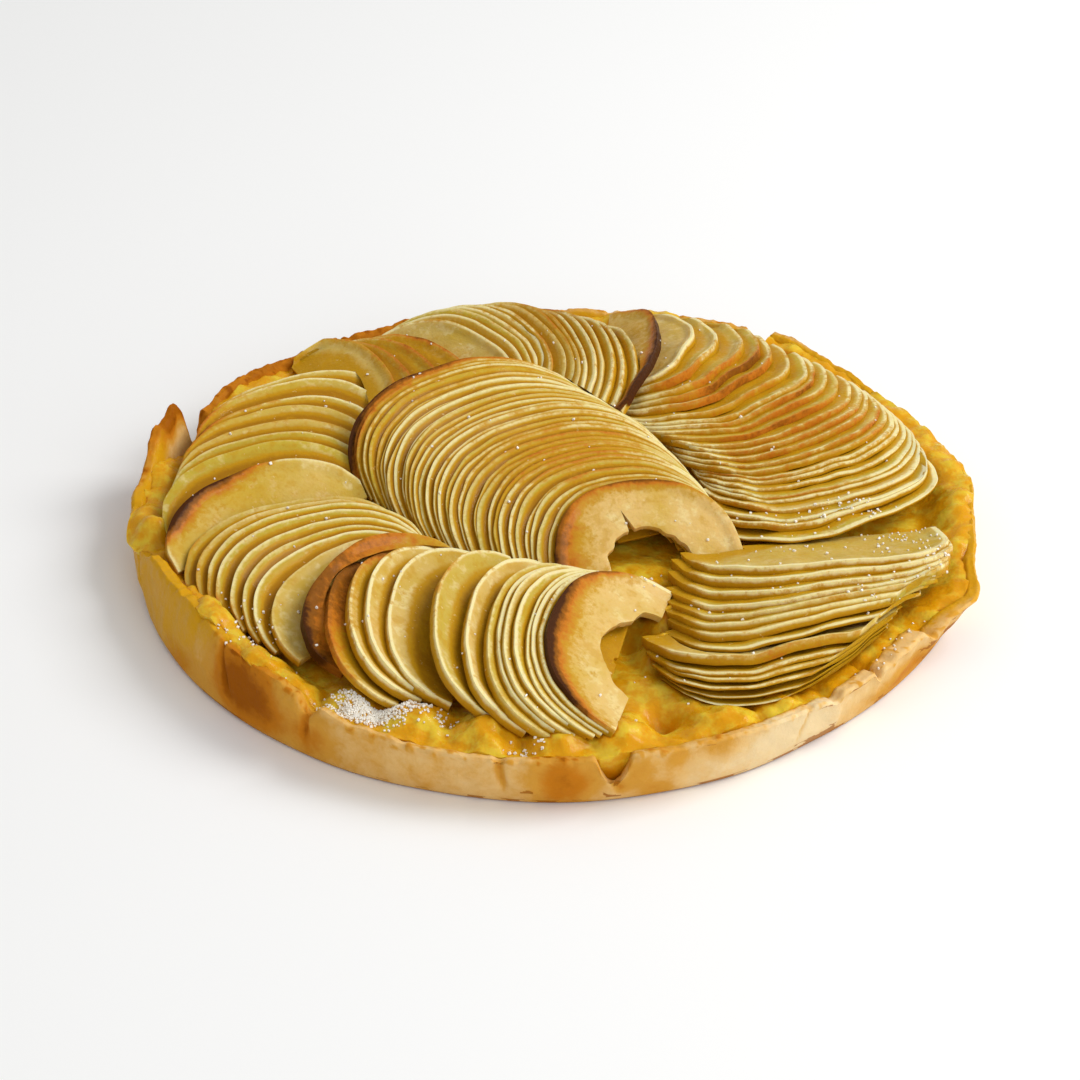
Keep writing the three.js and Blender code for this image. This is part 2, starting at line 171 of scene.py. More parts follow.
def noises(points, *layers):
    # a sum of noises, each with its amount, size and seed
    return sum(amount * noiseAt(points, size, seed) for amount, size, seed in layers)


def colour(code):
    # a web colour as linear light
    parts = [int(code[start:start + 2], 16) / 255 for start in (1, 3, 5)]
    linear = [part / 12.92 if part <= 0.04045 else ((part + 0.055) / 1.055) ** 2.4 for part in parts]
    return (*linear, 1)


cameraSet = {
    "target": Vector((-0.00475, -0.01983, 0.018)),
    "elevation": 33.4,       # degrees above the horizon
    "distance": 0.888,
    "lens": 104.17,          # millimetres on a 36 mm sensor
}


def makeCamera():
    lift = math.radians(cameraSet["elevation"])
    back = Vector((0, -math.cos(lift), math.sin(lift)))
    bpy.ops.object.camera_add(location=cameraSet["target"] + back * cameraSet["distance"],
                              rotation=(math.pi / 2 - lift, 0, 0))
    camera = bpy.context.object
    camera.data.lens = cameraSet["lens"]
    camera.data.sensor_width = 36
    camera.data.clip_start = 0.05
    bpy.context.scene.camera = camera
    print("camera placed")


lightSet = {
    # place, size and power of each soft light
    "key": {"place": (1.00, 0.20, 1.00), "size": 0.8, "power": 13.2},
    "front": {"place": (0.90, -1.30, 0.90), "size": 1.4, "power": 9.3},
    "world": 0.53,
}


def makeLights():
    for light in (lightSet["key"], lightSet["front"]):
        spot = Vector(light["place"])
        aim = (-spot).to_track_quat("-Z", "Y").to_euler()
        bpy.ops.object.light_add(type="AREA", radius=light["size"], location=spot, rotation=aim)
        bpy.context.object.data.energy = light["power"]
        bpy.context.object.data.size = light["size"]
    world = bpy.data.worlds.new("paleRoom")
    bpy.context.scene.world = world
    world.use_nodes = True
    sky = world.node_tree.nodes["Background"]
    sky.inputs["Color"].default_value = (1, 1, 1, 1)
    sky.inputs["Strength"].default_value = lightSet["world"]
    bpy.context.scene.view_settings.view_transform = "Standard"
    bpy.ops.mesh.primitive_plane_add(size=14, location=(0, 0, 0))
    floor = bpy.context.object
    floor.name = "floor"
    floor.data.materials.append(paleFloor())
    print("lights and floor placed")


def addNode(tree, kind, inputs=None, **settings):
    made = tree.nodes.new(kind)
    for key, value in settings.items():
        setattr(made, key, value)
    for key, value in (inputs or {}).items():
        if isinstance(value, bpy.types.NodeSocket):
            tree.links.new(value, made.inputs[key])
        else:
            made.inputs[key].default_value = value
    return made


def startMaterial(name):
    # gives the material, its nodes and the place on the object
    material = bpy.data.materials.new(name)
    material.use_nodes = True
    tree = material.node_tree
    tree.nodes.clear()
    return material, tree, addNode(tree, "ShaderNodeTexCoord").outputs["Object"]


def endMaterial(tree, looks):
    shader = addNode(tree, "ShaderNodeBsdfPrincipled", looks)
    addNode(tree, "ShaderNodeOutputMaterial", {"Surface": shader.outputs[0]})


def painted(tree, name):
    return addNode(tree, "ShaderNodeAttribute", attribute_name=name).outputs["Fac"]


def speckle(tree, where, size, detail=2.0, roughness=0.5, distortion=0.0):
    made = addNode(tree, "ShaderNodeTexNoise", {
        "Vector": where, "Scale": 1 / size, "Detail": detail, "Roughness": roughness,
        "Distortion": distortion})
    return made.outputs["Fac"]


def spread(tree, value, low, high, bottom=0.0, top=1.0):
    return addNode(tree, "ShaderNodeMapRange", {
        "Value": value, "From Min": low, "From Max": high, "To Min": bottom, "To Max": top},
        interpolation_type="SMOOTHSTEP").outputs["Result"]


def sums(tree, operation, first, second):
    return addNode(tree, "ShaderNodeMath", {0: first, 1: second}, operation=operation).outputs[0]


def roughened(tree, value, *grains):
    # a painted value made uneven by grains that run about 0.5, each with its amount
    for grain, amount in grains:
        offset = sums(tree, "SUBTRACT", grain, 0.5)
        value = sums(tree, "ADD", value, sums(tree, "MULTIPLY", offset, amount))
    return value


def blendColour(tree, share, first, second):
    return addNode(tree, "ShaderNodeMix", {0: share, 6: first, 7: second},
                   data_type="RGBA", blend_type="MIX", clamp_factor=True).outputs[2]


def layered(tree, base, finish, layers):
    # colours laid over one another: value, its low and high end, colour and its shares there
    for value, low, high, name, *shares in layers:
        share = spread(tree, value, low, high, *shares)
        base = blendColour(tree, share, base, colour(finish[name]))
    return base


def bumps(tree, layers):
    # layers of (height, distance in metres, strength), finest last
    normal = None
    for height, distance, strength in layers:
        inputs = {"Height": height, "Distance": distance, "Strength": strength}
        if normal:
            inputs["Normal"] = normal
        normal = addNode(tree, "ShaderNodeBump", inputs).outputs["Normal"]
    return normal


def paleFloor():
    material, tree, where = startMaterial("paleFloor")
    shade = blendColour(tree, speckle(tree, where, 0.4), colour("#f4f4f3"), colour("#f8f8f7"))
    endMaterial(tree, {"Base Color": shade, "Roughness": 0.9, "Specular IOR Level": 0.1})
    return material


appleFinish = {
    # the cream colour serves both paler flesh and the painted highlights on rims and specks
    "creamAndHighlight": "#eee0a6", "rosy": "#dcb870", "green": "#c0a63a", "straw": "#c8a02c",
    "golden": "#c08e14", "amber": "#a87410", "deep": "#70440a", "toasted": "#c0701c",
    "brown": "#865012", "scorched": "#46240a",
}


def bakedApple():
    material, tree, where = startMaterial("bakedApple")
    toast, crevice, tint, groove, edge = (
        painted(tree, name) for name in ("toast", "crevice", "tint", "groove", "edge"))
    broad = speckle(tree, where, 0.016, 3, 0.55)
    mottle = speckle(tree, where, 0.0055, 3, 0.6)
    fine = speckle(tree, where, 0.0018, 3, 0.65)
    # painted highlight along the top corner of each rim
    rimHighlight = roughened(tree, edge, (fine, 0.8))
    # juice and painted shade in the joints between slices
    wetAndShaded = roughened(tree, groove, (mottle, 0.5), (fine, 0.35))
    # painted shade where other surfaces crowd close, amber as the juice that pools there
    hollowShade = roughened(tree, crevice, (fine, 0.2))
    ragged = roughened(tree, toast, (mottle, 0.9), (fine, 0.8))
    flesh = blendColour(tree, roughened(tree, tint, (broad, 0.9)),
                        colour(appleFinish["rosy"]), colour(appleFinish["green"]))
    flesh = layered(tree, flesh, appleFinish, [
        (broad, 0.45, 0.75, "straw", 0, 0.6), (mottle, 0.52, 0.68, "creamAndHighlight", 0, 0.45),
        # the second layer here: painted highlight on the rims
        (mottle, 0.34, 0.48, "golden", 0.45, 0), (rimHighlight, 0.15, 0.85, "creamAndHighlight", 0, 0.95),
        (wetAndShaded, 0.10, 0.50, "golden"), (wetAndShaded, 0.50, 1.0, "amber"),
        # painted shade from the occlusion value, amber then deep
        (hollowShade, 0.50, 0.90, "amber", 0, 0.5), (hollowShade, 0.86, 1.0, "deep", 0, 0.6),
        # the first layer here: small specks of painted glints
        (fine, 0.66, 0.72, "creamAndHighlight", 0, 0.45), (ragged, 0.10, 0.45, "golden", 0, 0.85),
        (ragged, 0.35, 0.85, "toasted", 0, 0.95), (ragged, 0.75, 1.2, "brown"),
        (ragged, 1.2, 1.7, "scorched")])
    normal = bumps(tree, [
        (speckle(tree, where, 0.004, 3, 0.55), 0.0008, 0.35),
        (speckle(tree, where, 0.0010, 3, 0.6), 0.00022, 0.4)])
    endMaterial(tree, {
        "Base Color": flesh, "Roughness": spread(tree, fine, 0.3, 0.7, 0.35, 0.55),
        "Subsurface Weight": 0.3, "Subsurface Radius": (1.0, 0.75, 0.3), "Subsurface Scale": 0.002,
        "Specular IOR Level": 0.04, "Coat Weight": spread(tree, toast, 0.5, 1.2, 0.10, 0.05),
        "Coat Roughness": 0.1, "Normal": normal})
    return material


compoteFinish = {"light": "#dfbc34", "yellow": "#d8980e", "amber": "#be7602", "deep": "#743f02"}


def cookedCompote():
    material, tree, where = startMaterial("cookedCompote")
    lumps = speckle(tree, where, 0.006, 3, 0.6)
    fine = speckle(tree, where, 0.0014, 3, 0.6)
    # painted shade where slices and the wall crowd close
    hollowShade = roughened(tree, painted(tree, "crevice"), (fine, 0.3))
    flesh = layered(tree, colour(compoteFinish["yellow"]), compoteFinish, [
        (lumps, 0.42, 0.66, "light"), (fine, 0.62, 0.72, "light", 0, 0.5),
        (hollowShade, 0.2, 0.7, "amber"), (hollowShade, 0.75, 1.0, "deep")])
    normal = bumps(tree, [(lumps, 0.0012, 0.5), (fine, 0.0003, 0.5)])
    endMaterial(tree, {
        "Base Color": flesh, "Roughness": spread(tree, fine, 0.3, 0.7, 0.2, 0.45),
        "Subsurface Weight": 0.25, "Subsurface Radius": (1.0, 0.6, 0.1), "Subsurface Scale": 0.003,
        "Specular IOR Level": 0.06, "Coat Weight": 0.16, "Coat Roughness": 0.1, "Normal": normal})
    return material


crustFinish = {
    "floury": "#ead0a0", "pale": "#e2b976", "golden": "#d2983a", "orange": "#c37818",
    "brown": "#9c5606", "dark": "#5a3008", "glaze": "#d29a16",
}


def bakedCrust():
    material, tree, where = startMaterial("bakedCrust")
    bake, glaze, crevice = (painted(tree, name) for name in ("bake", "glaze", "crevice"))
    broad = speckle(tree, where, 0.018, 4, 0.6, 0.4)
    small = speckle(tree, where, 0.005, 4, 0.6, 0.3)
    fine = speckle(tree, where, 0.0014, 4, 0.65)
    uneven = roughened(tree, bake, (broad, 0.5), (small, 0.35), (fine, 0.15))
    shine = roughened(tree, glaze, (small, 0.6), (fine, 0.3))
    pastry = layered(tree, colour(crustFinish["floury"]), crustFinish, [
        (uneven, -0.1, 0.25, "pale"), (uneven, 0.2, 0.5, "golden"), (uneven, 0.5, 0.85, "orange"),
        (uneven, 0.85, 1.2, "brown"), (uneven, 1.3, 1.8, "dark"), (shine, 0.25, 0.85, "glaze"),
        # painted shade in the crust's hollows, from the occlusion value
        (crevice, 0.55, 0.95, "brown", 0, 0.75)])
    normal = bumps(tree, [
        (speckle(tree, where, 0.006, 4, 0.6), 0.0014, 0.45),
        (speckle(tree, where, 0.0009, 3, 0.7), 0.0003, 0.5)])
    endMaterial(tree, {
        "Base Color": pastry, "Roughness": spread(tree, glaze, 0.2, 0.8, 0.6, 0.3),
        "Subsurface Weight": 0.1, "Subsurface Radius": (1.0, 0.6, 0.3), "Subsurface Scale": 0.002,
        "Specular IOR Level": 0.03, "Coat Weight": spread(tree, glaze, 0.3, 0.9, 0.01, 0.08),
        "Coat Roughness": 0.15, "Normal": normal})
    return material


def sugarFinish():
    material, tree, where = startMaterial("whiteSugar")
    shade = blendColour(tree, speckle(tree, where, 0.003), colour("#efe6d2"), colour("#fbf8f0"))
    endMaterial(tree, {
        "Base Color": shade, "Roughness": 0.25, "Subsurface Weight": 0.2,
        "Subsurface Radius": (1.0, 1.0, 1.0), "Subsurface Scale": 0.001, "Coat Weight": 0.3})
    return material


crust = {
    "baseRadius": 0.1185, "rimRadius": 0.1195, "rimHeight": 0.0172, "thickness": 0.0036,
    "floor": 0.0036, "edgeRound": 0.0024, "steps": 1000, "rowHeight": 0.001,
    # inside the wall: set-in and height of the foot, place up the lean and set-in of the shoulder
    "footSet": 0.0014, "footRise": 0.0016, "shoulder": 0.7, "shoulderSet": 0.0004,
    # place round the case in degrees, spread, rise, lean and extra thickness of the top edge
    "swells": [
        (166, 5.4, 0.0086, 0.0022, 0), (161.4, 1.9, 0.0064, 0.0004, -0.0010),
        (180, 13, 0.0008, 0.0042, 0.0008),
        (-150, 16, 0.0044, -0.0034, 0.0012), (-128, 8, 0.0022, -0.0010, 0.0006),
        (-97, 22, -0.0016, 0.0014, 0.0004), (-48, 20, -0.0026, -0.0018, 0.0012),
        (-32, 12, 0, 0, 0.0026), (-21, 6.5, -0.0006, 0.0060, 0.0004), (-9, 7, 0.0014, 0.0012, 0),
        (6, 8, 0.0006, 0.0028, 0), (30, 10, -0.0016, 0.0006, 0), (54, 9, 0.0026, 0.0004, 0),
        (88, 12, -0.0014, 0, 0), (147, 9, 0.0026, 0.0008, 0)],
    # place, half width and depth of each tear
    "tears": [
        (157.6, 3.0, 0.0105), (-171, 6.0, 0.0032), (57, 2.4, 0.0080), (-83, 2.4, 0.0085),
        (-29, 3.0, 0.0030), (-124, 1.8, 0.0035), (-42.2, 0.9, 0.0024), (-50.6, 1.1, 0.0018)],
    # where the foot stands in, or out: place, spread, depth
    "flats": [(-45, 28, 0.0040), (-165, 21, -0.0017)],
    # place at the foot, place at the top, half width and depth of each crack down the wall
    "cracks": [
        (-96.5, -97.5, 0.0009, 0.0012), (-137, -141, 0.0011, 0.0014), (-125, -124, 0.0009, 0.0012),
        (-81, -83, 0.0010, 0.0012), (-58, -55, 0.0007, 0.0006), (-166, -170, 0.0008, 0.0009),
        (150, 157, 0.0012, 0.0014), (96, 99, 0.0009, 0.0010), (57, 57, 0.0010, 0.0013),
        (20, 17, 0.0009, 0.0009), (128, 125, 0.0008, 0.0009)],
    # browner and paler patches of the outside: place, spread, share of the height, spread, amount
    "patches": [
        (-137, 4.8, 0.6, 0.6, 1.05), (-131, 3.2, 0.5, 0.6, 0.6), (-124, 4, 0.45, 0.5, 0.5),
        (-163, 18, 0.5, 0.8, 0.35), (132, 30, 1.0, 0.5, 0.75), (-152, 6, 0.15, 0.3, 0.35),
        (-89, 4, 0.5, 0.6, 0.7), (-75, 1.6, 0.8, 0.3, 0.4), (-80, 2.5, 0.6, 0.4, 0.4),
        (-69, 4, 0.85, 0.3, 0.4), (-77, 2.5, 0.15, 0.25, 0.45), (-33, 14, 0.3, 0.35, 0.5),
        (166, 9, 0.7, 0.6, 0.4), (162.5, 5, 0.8, 0.6, 0.35), (-178, 12, 0.5, 0.6, 0.25),
        (-58, 17, 0.5, 0.7, -0.38), (-112, 9, 0.5, 0.7, 0.05),
        (60, 16, 0.6, 0.5, 0.3), (115, 18, 0.5, 0.5, 0.25), (20, 12, 0.4, 0.5, 0.2)],
    # juice that ran over the wall: place, spread, share of the height, spread, amount
    "spills": [
        (-152, 9, 1.0, 0.4, 0.9), (-175, 9, 0.9, 0.6, 1.0), (-163, 16, 0.5, 0.8, 0.95),
        (134, 22, 0.9, 0.8, -0.9), (162.5, 5, 0.8, 0.6, -0.9),
        (162, 6, 0.9, 0.35, 0.3), (-12, 14, 1.0, 0.3, 0.9), (24, 26, 1.0, 0.35, 1.1)],
}


def rimAt(degrees):
    height, radius, thickness = (
        np.full(len(degrees), crust[key]) for key in ("rimHeight", "rimRadius", "thickness"))
    for at, width, rise, out, thick in crust["swells"]:
        amount = nearTurn(degrees, at, width)
        height += rise * amount
        radius += out * amount
        thickness += thick * amount
    for at, halfWidth, depth in crust["tears"]:
        height -= depth * np.maximum(0, 1 - (turnApart(degrees, at) / halfWidth) ** 2)
    return height, radius, thickness


def baseAt(degrees):
    return crust["baseRadius"] - sum(
        depth * nearTurn(degrees, at, width) for at, width, depth in crust["flats"])


def innerRadiusAt(degrees, height):
    base = baseAt(degrees)
    rimHeight, rimRadius, thickness = rimAt(degrees)
    foot = base - thickness - crust["footSet"]
    shoulder = base + crust["shoulder"] * (rimRadius - base) - thickness - crust["shoulderSet"]
    low = crust["floor"] + crust["footRise"]
    return foot + (shoulder - foot) * np.clip((height - low) / (0.75 * rimHeight - low), 0, 1)


def crustProfile(base, rimRadius, rimHeight, thickness):
    # radius and height of the wall's outline, from under the foot over the top to the inside
    edge, floorTop = crust["edgeRound"], crust["floor"]
    lean = rimRadius - base
    zero = np.zeros_like(base)
    return [
        (base - 3 * edge, zero), (base - edge, zero), (base - 0.25 * edge, 0.2 * edge + zero),
        (base, 0.8 * edge + zero), (base + 0.35 * lean + 0.0004, 0.45 * rimHeight),
        (base + 0.75 * lean + 0.0001, 0.8 * rimHeight), (rimRadius - 0.0003, 0.95 * rimHeight),
        (rimRadius - 0.0010, rimHeight), (rimRadius - thickness + 0.0012, rimHeight - 0.0003),
        (rimRadius - thickness + 0.0002, rimHeight - 0.0014),
        (base + crust["shoulder"] * lean - thickness - crust["shoulderSet"], 0.7 * rimHeight),
        (base - thickness - crust["footSet"], floorTop + crust["footRise"] + zero),
        (base - thickness - 0.0050, floorTop + zero)]


profileRows = [0, 2, 2, 3, 10, 8, 5, 3, 5, 3, 5, 3, 2]   # rows between the outline's points


def modelCrust():
    # a ring of points pulled up row by row into a tube, then bent to the wall's outline
    piece = startRing("crustBaked", crust["steps"], crust["baseRadius"])
    for row in range(sum(profileRows)):
        extrude(crust["rowHeight"])
    bpy.ops.mesh.edge_face_add()
    bpy.ops.object.mode_set(mode="OBJECT")
    tube = readPoints(piece)
    rows = np.rint(tube[:, 2] / crust["rowHeight"])
    degrees = turnOf(tube)
    base = baseAt(degrees)
    rimHeight, rimRadius, thickness = rimAt(degrees)
    rimLine = ringAt(degrees, crust["rimRadius"])
    torn = 1 - 0.6 * nearTurn(degrees, -80, 35)       # the front edge is smoother
    rimHeight += torn * noises(rimLine, (0.0009, 0.012, 1), (0.0005, 0.0045, 2))
    rimHeight -= torn * 0.0020 * np.maximum(0, noiseAt(rimLine, 0.0034, 3) - 0.15)
    rimRadius += 0.0007 * noiseAt(rimLine, 0.013, 4)
    base += 0.0006 * noiseAt(rimLine, 0.03, 5)
    outline = crustProfile(base, rimRadius, rimHeight, thickness)
    starts = np.cumsum(profileRows)
    radius, height = np.zeros(len(rows)), np.zeros(len(rows))
    for index in range(len(outline) - 1):
        share = (rows - starts[index]) / profileRows[index + 1]
        inside = (share >= 0) & (share <= 1)
        for values, low, high in zip((radius, height), outline[index], outline[index + 1]):
            values[inside] = (low + (high - low) * share)[inside]
    points = ringAt(degrees, radius)
    points[:, 2] = height
    writePoints(piece, points)
    editAll()
    turnOutwards()
    shapeCrustRelief(piece, degrees, rows, rimHeight)
    smoothShade(60)
    print("crust modelled:", len(piece.data.polygons), "faces")
    return piece


def patchesAt(patches, degrees, share):
    return sum(amount * nearTurn(degrees, at, width) * bell(share, middle, reach)
               for at, width, middle, reach, amount in patches)


def shapeCrustRelief(piece, degrees, rows, rimHeight):
    # dents, crumbs, cracks and flakes on all but the flat underside, and how brown each place is
    # painted
    points, normals = readPoints(piece), readPoints(piece, "normal")
    starts = np.cumsum(profileRows)
    onWall = smooth(rows, starts[2], starts[4])
    outside = 1 - smooth(rows, starts[7], starts[9])
    nearTop = smooth(rows, starts[5], starts[7]) * (1 - smooth(rows, starts[9], starts[10]))
    share = points[:, 2] / rimHeight
    push = (1 - nearTop) * noises(points, (0.0010, 0.016, 11), (0.0005, 0.005, 12))
    flakes = noiseAt(points, 0.0022, 13, 2)
    push += (0.00012 + 0.00022 * nearTop) * flakes
    cracked = np.zeros(len(points))
    for foot, top, halfWidth, depth in crust["cracks"]:
        apart = np.radians(turnApart(degrees, foot + (top - foot) * share)) * crust["baseRadius"]
        apart += 0.0006 * noiseAt(points, 0.004, foot)
        crack = bell(apart, 0, halfWidth) * smooth(share, 0.15, 0.6) * outside
        push -= depth * crack
        cracked = np.maximum(cracked, crack)
    writePoints(piece, points + normals * (push * onWall)[:, None])
    # browner in the cracks and on the flakes near the top, and in the listed patches
    bake = 0.26 + 0.35 * cracked + 0.45 * nearTop * smooth(flakes, 0.1, 0.7)
    bake += patchesAt(crust["patches"], degrees, share) * np.maximum(outside, nearTop)
    glaze = 0.8 * (1 - outside) + patchesAt(crust["spills"], degrees, share)
    paint(piece, bake=bake, glaze=glaze)


compote = {
    "top": 0.0120, "belowRim": 0.0010, "highest": 0.0196, "rings": 58, "steps": 600, "reach": 0.0006,
    # x, y, spread and rise of the mounds between the fans
    "mounds": [
        (0.024, -0.043, 0.014, 0.0046), (0.039, -0.096, 0.015, 0.0034),
        (-0.047, -0.099, 0.016, 0.0026), (-0.074, 0.079, 0.015, 0.0030),
        (-0.054, -0.093, 0.008, 0.0056), (-0.037, -0.1015, 0.009, 0.0070),
        (-0.019, -0.107, 0.010, 0.0072), (0.000, -0.109, 0.010, 0.0072),
        (0.017, -0.108, 0.009, 0.0070), (0.030, -0.054, 0.007, 0.0072),
        (0.029, -0.067, 0.006, 0.0056),
        (0.022, 0.103, 0.014, 0.0024), (-0.1150, -0.0135, 0.0065, 0.0100),
        (0.044, -0.101, 0.010, 0.0062), (0.058, -0.094, 0.008, 0.0050)],
    # x, y, spread and depth of the pits
    "pits": [(0.0275, -0.0985, 0.0042, 0.0080), (0.019, -0.062, 0.005, 0.004),
             (0.043, -0.058, 0.003, 0.003)],
    # where it laps over the wall: place, spread, reach
    "laps": [(-173, 5.0, 0.0050), (-148, 4, 0.0030), (-135, 3.5, 0.0026), (12, 24, 0.0026),
             (74, 7, 0.0020)],
    # where it stands lower at the wall: place, spread, share of its rise
    "dips": [(161, 8, 0.85), (127, 14, 0.6), (-160, 5, 0.35), (-120, 7, 0.3)],
    # amount, size and seed of each layer of lumps
    "lumps": [(0.0013, 0.009, 21), (0.0012, 0.0042, 22), (0.0006, 0.0018, 23)],
}


def modelCompote():
    piece = startRing("compoteCooked", compote["steps"], 1)
    extrude(1)
    drawIn(1 - 0.97 * np.linspace(0, 1, compote["rings"]) ** 1.6, 1)       # closer near the wall
    bpy.ops.mesh.edge_face_add()
    bpy.ops.object.mode_set(mode="OBJECT")
    unit = readPoints(piece)
    degrees = turnOf(unit)
    share = np.hypot(unit[:, 0], unit[:, 1])
    onTop = unit[:, 2] > 0.5
    wallHeight, rimRadius, thickness = rimAt(degrees)
    lap = sum(reach * nearTurn(degrees, at, width) for at, width, reach in compote["laps"])
    middle = innerRadiusAt(degrees, compote["top"]) + compote["reach"]
    radius = share * middle + (rimRadius - thickness + 0.001 - middle) * smooth(share, 0.9, 1) * onTop
    radius += lap * smooth(share, 0.95, 1.0) * onTop
    points = ringAt(degrees, radius)
    level = np.minimum(wallHeight - compote["belowRim"], compote["highest"])
    level += (wallHeight + 0.0010 - level) * smooth(lap, 0.0006, 0.0020)
    for at, width, depth in compote["dips"]:
        level -= (level - compote["top"]) * depth * nearTurn(degrees, at, width)
    rise = (level - compote["top"]) * smooth(share, 0.90, 0.98)
    rise -= 0.35 * lap * smooth(share, 0.985, 1.0)
    for x, y, width, height in compote["mounds"]:
        rise = np.maximum(rise, height * nearSpot(points, x, y, width))
    for x, y, width, depth in compote["pits"]:
        rise -= depth * nearSpot(points, x, y, width)
    lumps = noises(points, *compote["lumps"]) * np.clip(0.5 + rise / 0.006, 0, 1)
    points[:, 2] = np.where(onTop, compote["top"] + rise + lumps, crust["floor"] + 0.0004)
    writePoints(piece, points)
    bpy.ops.object.mode_set(mode="EDIT")
    bpy.ops.mesh.select_all(action="DESELECT")
    bpy.ops.mesh.select_mode(type="EDGE")
    bpy.ops.mesh.select_non_manifold()
    bpy.ops.mesh.edge_face_add()
    bpy.ops.mesh.select_mode(type="VERT")
    turnOutwards()
    smoothShade(60)
    print("compote modelled:", len(piece.data.polygons), "faces")
    return piece


sliceShape = {
    "arcSteps": 80, "thickness": 0.06, "edgeRound": 0.019, "ridge": 0.0008,
    # radii of the rows between the rim and the middle of the cut edge
    "rows": [1, 0.985, 0.965, 0.945, 0.92, 0.895, 0.87, 0.84, 0.81, 0.78, 0.74, 0.70, 0.65, 0.58,
             0.48, 0.35, 0.18, 0.04],
    # fewer rows, for the slices of a close fan, which show only their rims
    "fewRows": [1, 0.985, 0.965, 0.945, 0.92, 0.89, 0.85, 0.75, 0.45, 0.04], "closeFan": 30,
    "leafThickness": 0.0020, "uneven": 0.45,
    # how far each measure of a slice is drawn at random, in all
    "shifts": {"rise": 0.0018, "width": 0.0024, "x": 0.0009, "y": 0.0009, "turn": 2.4},
}
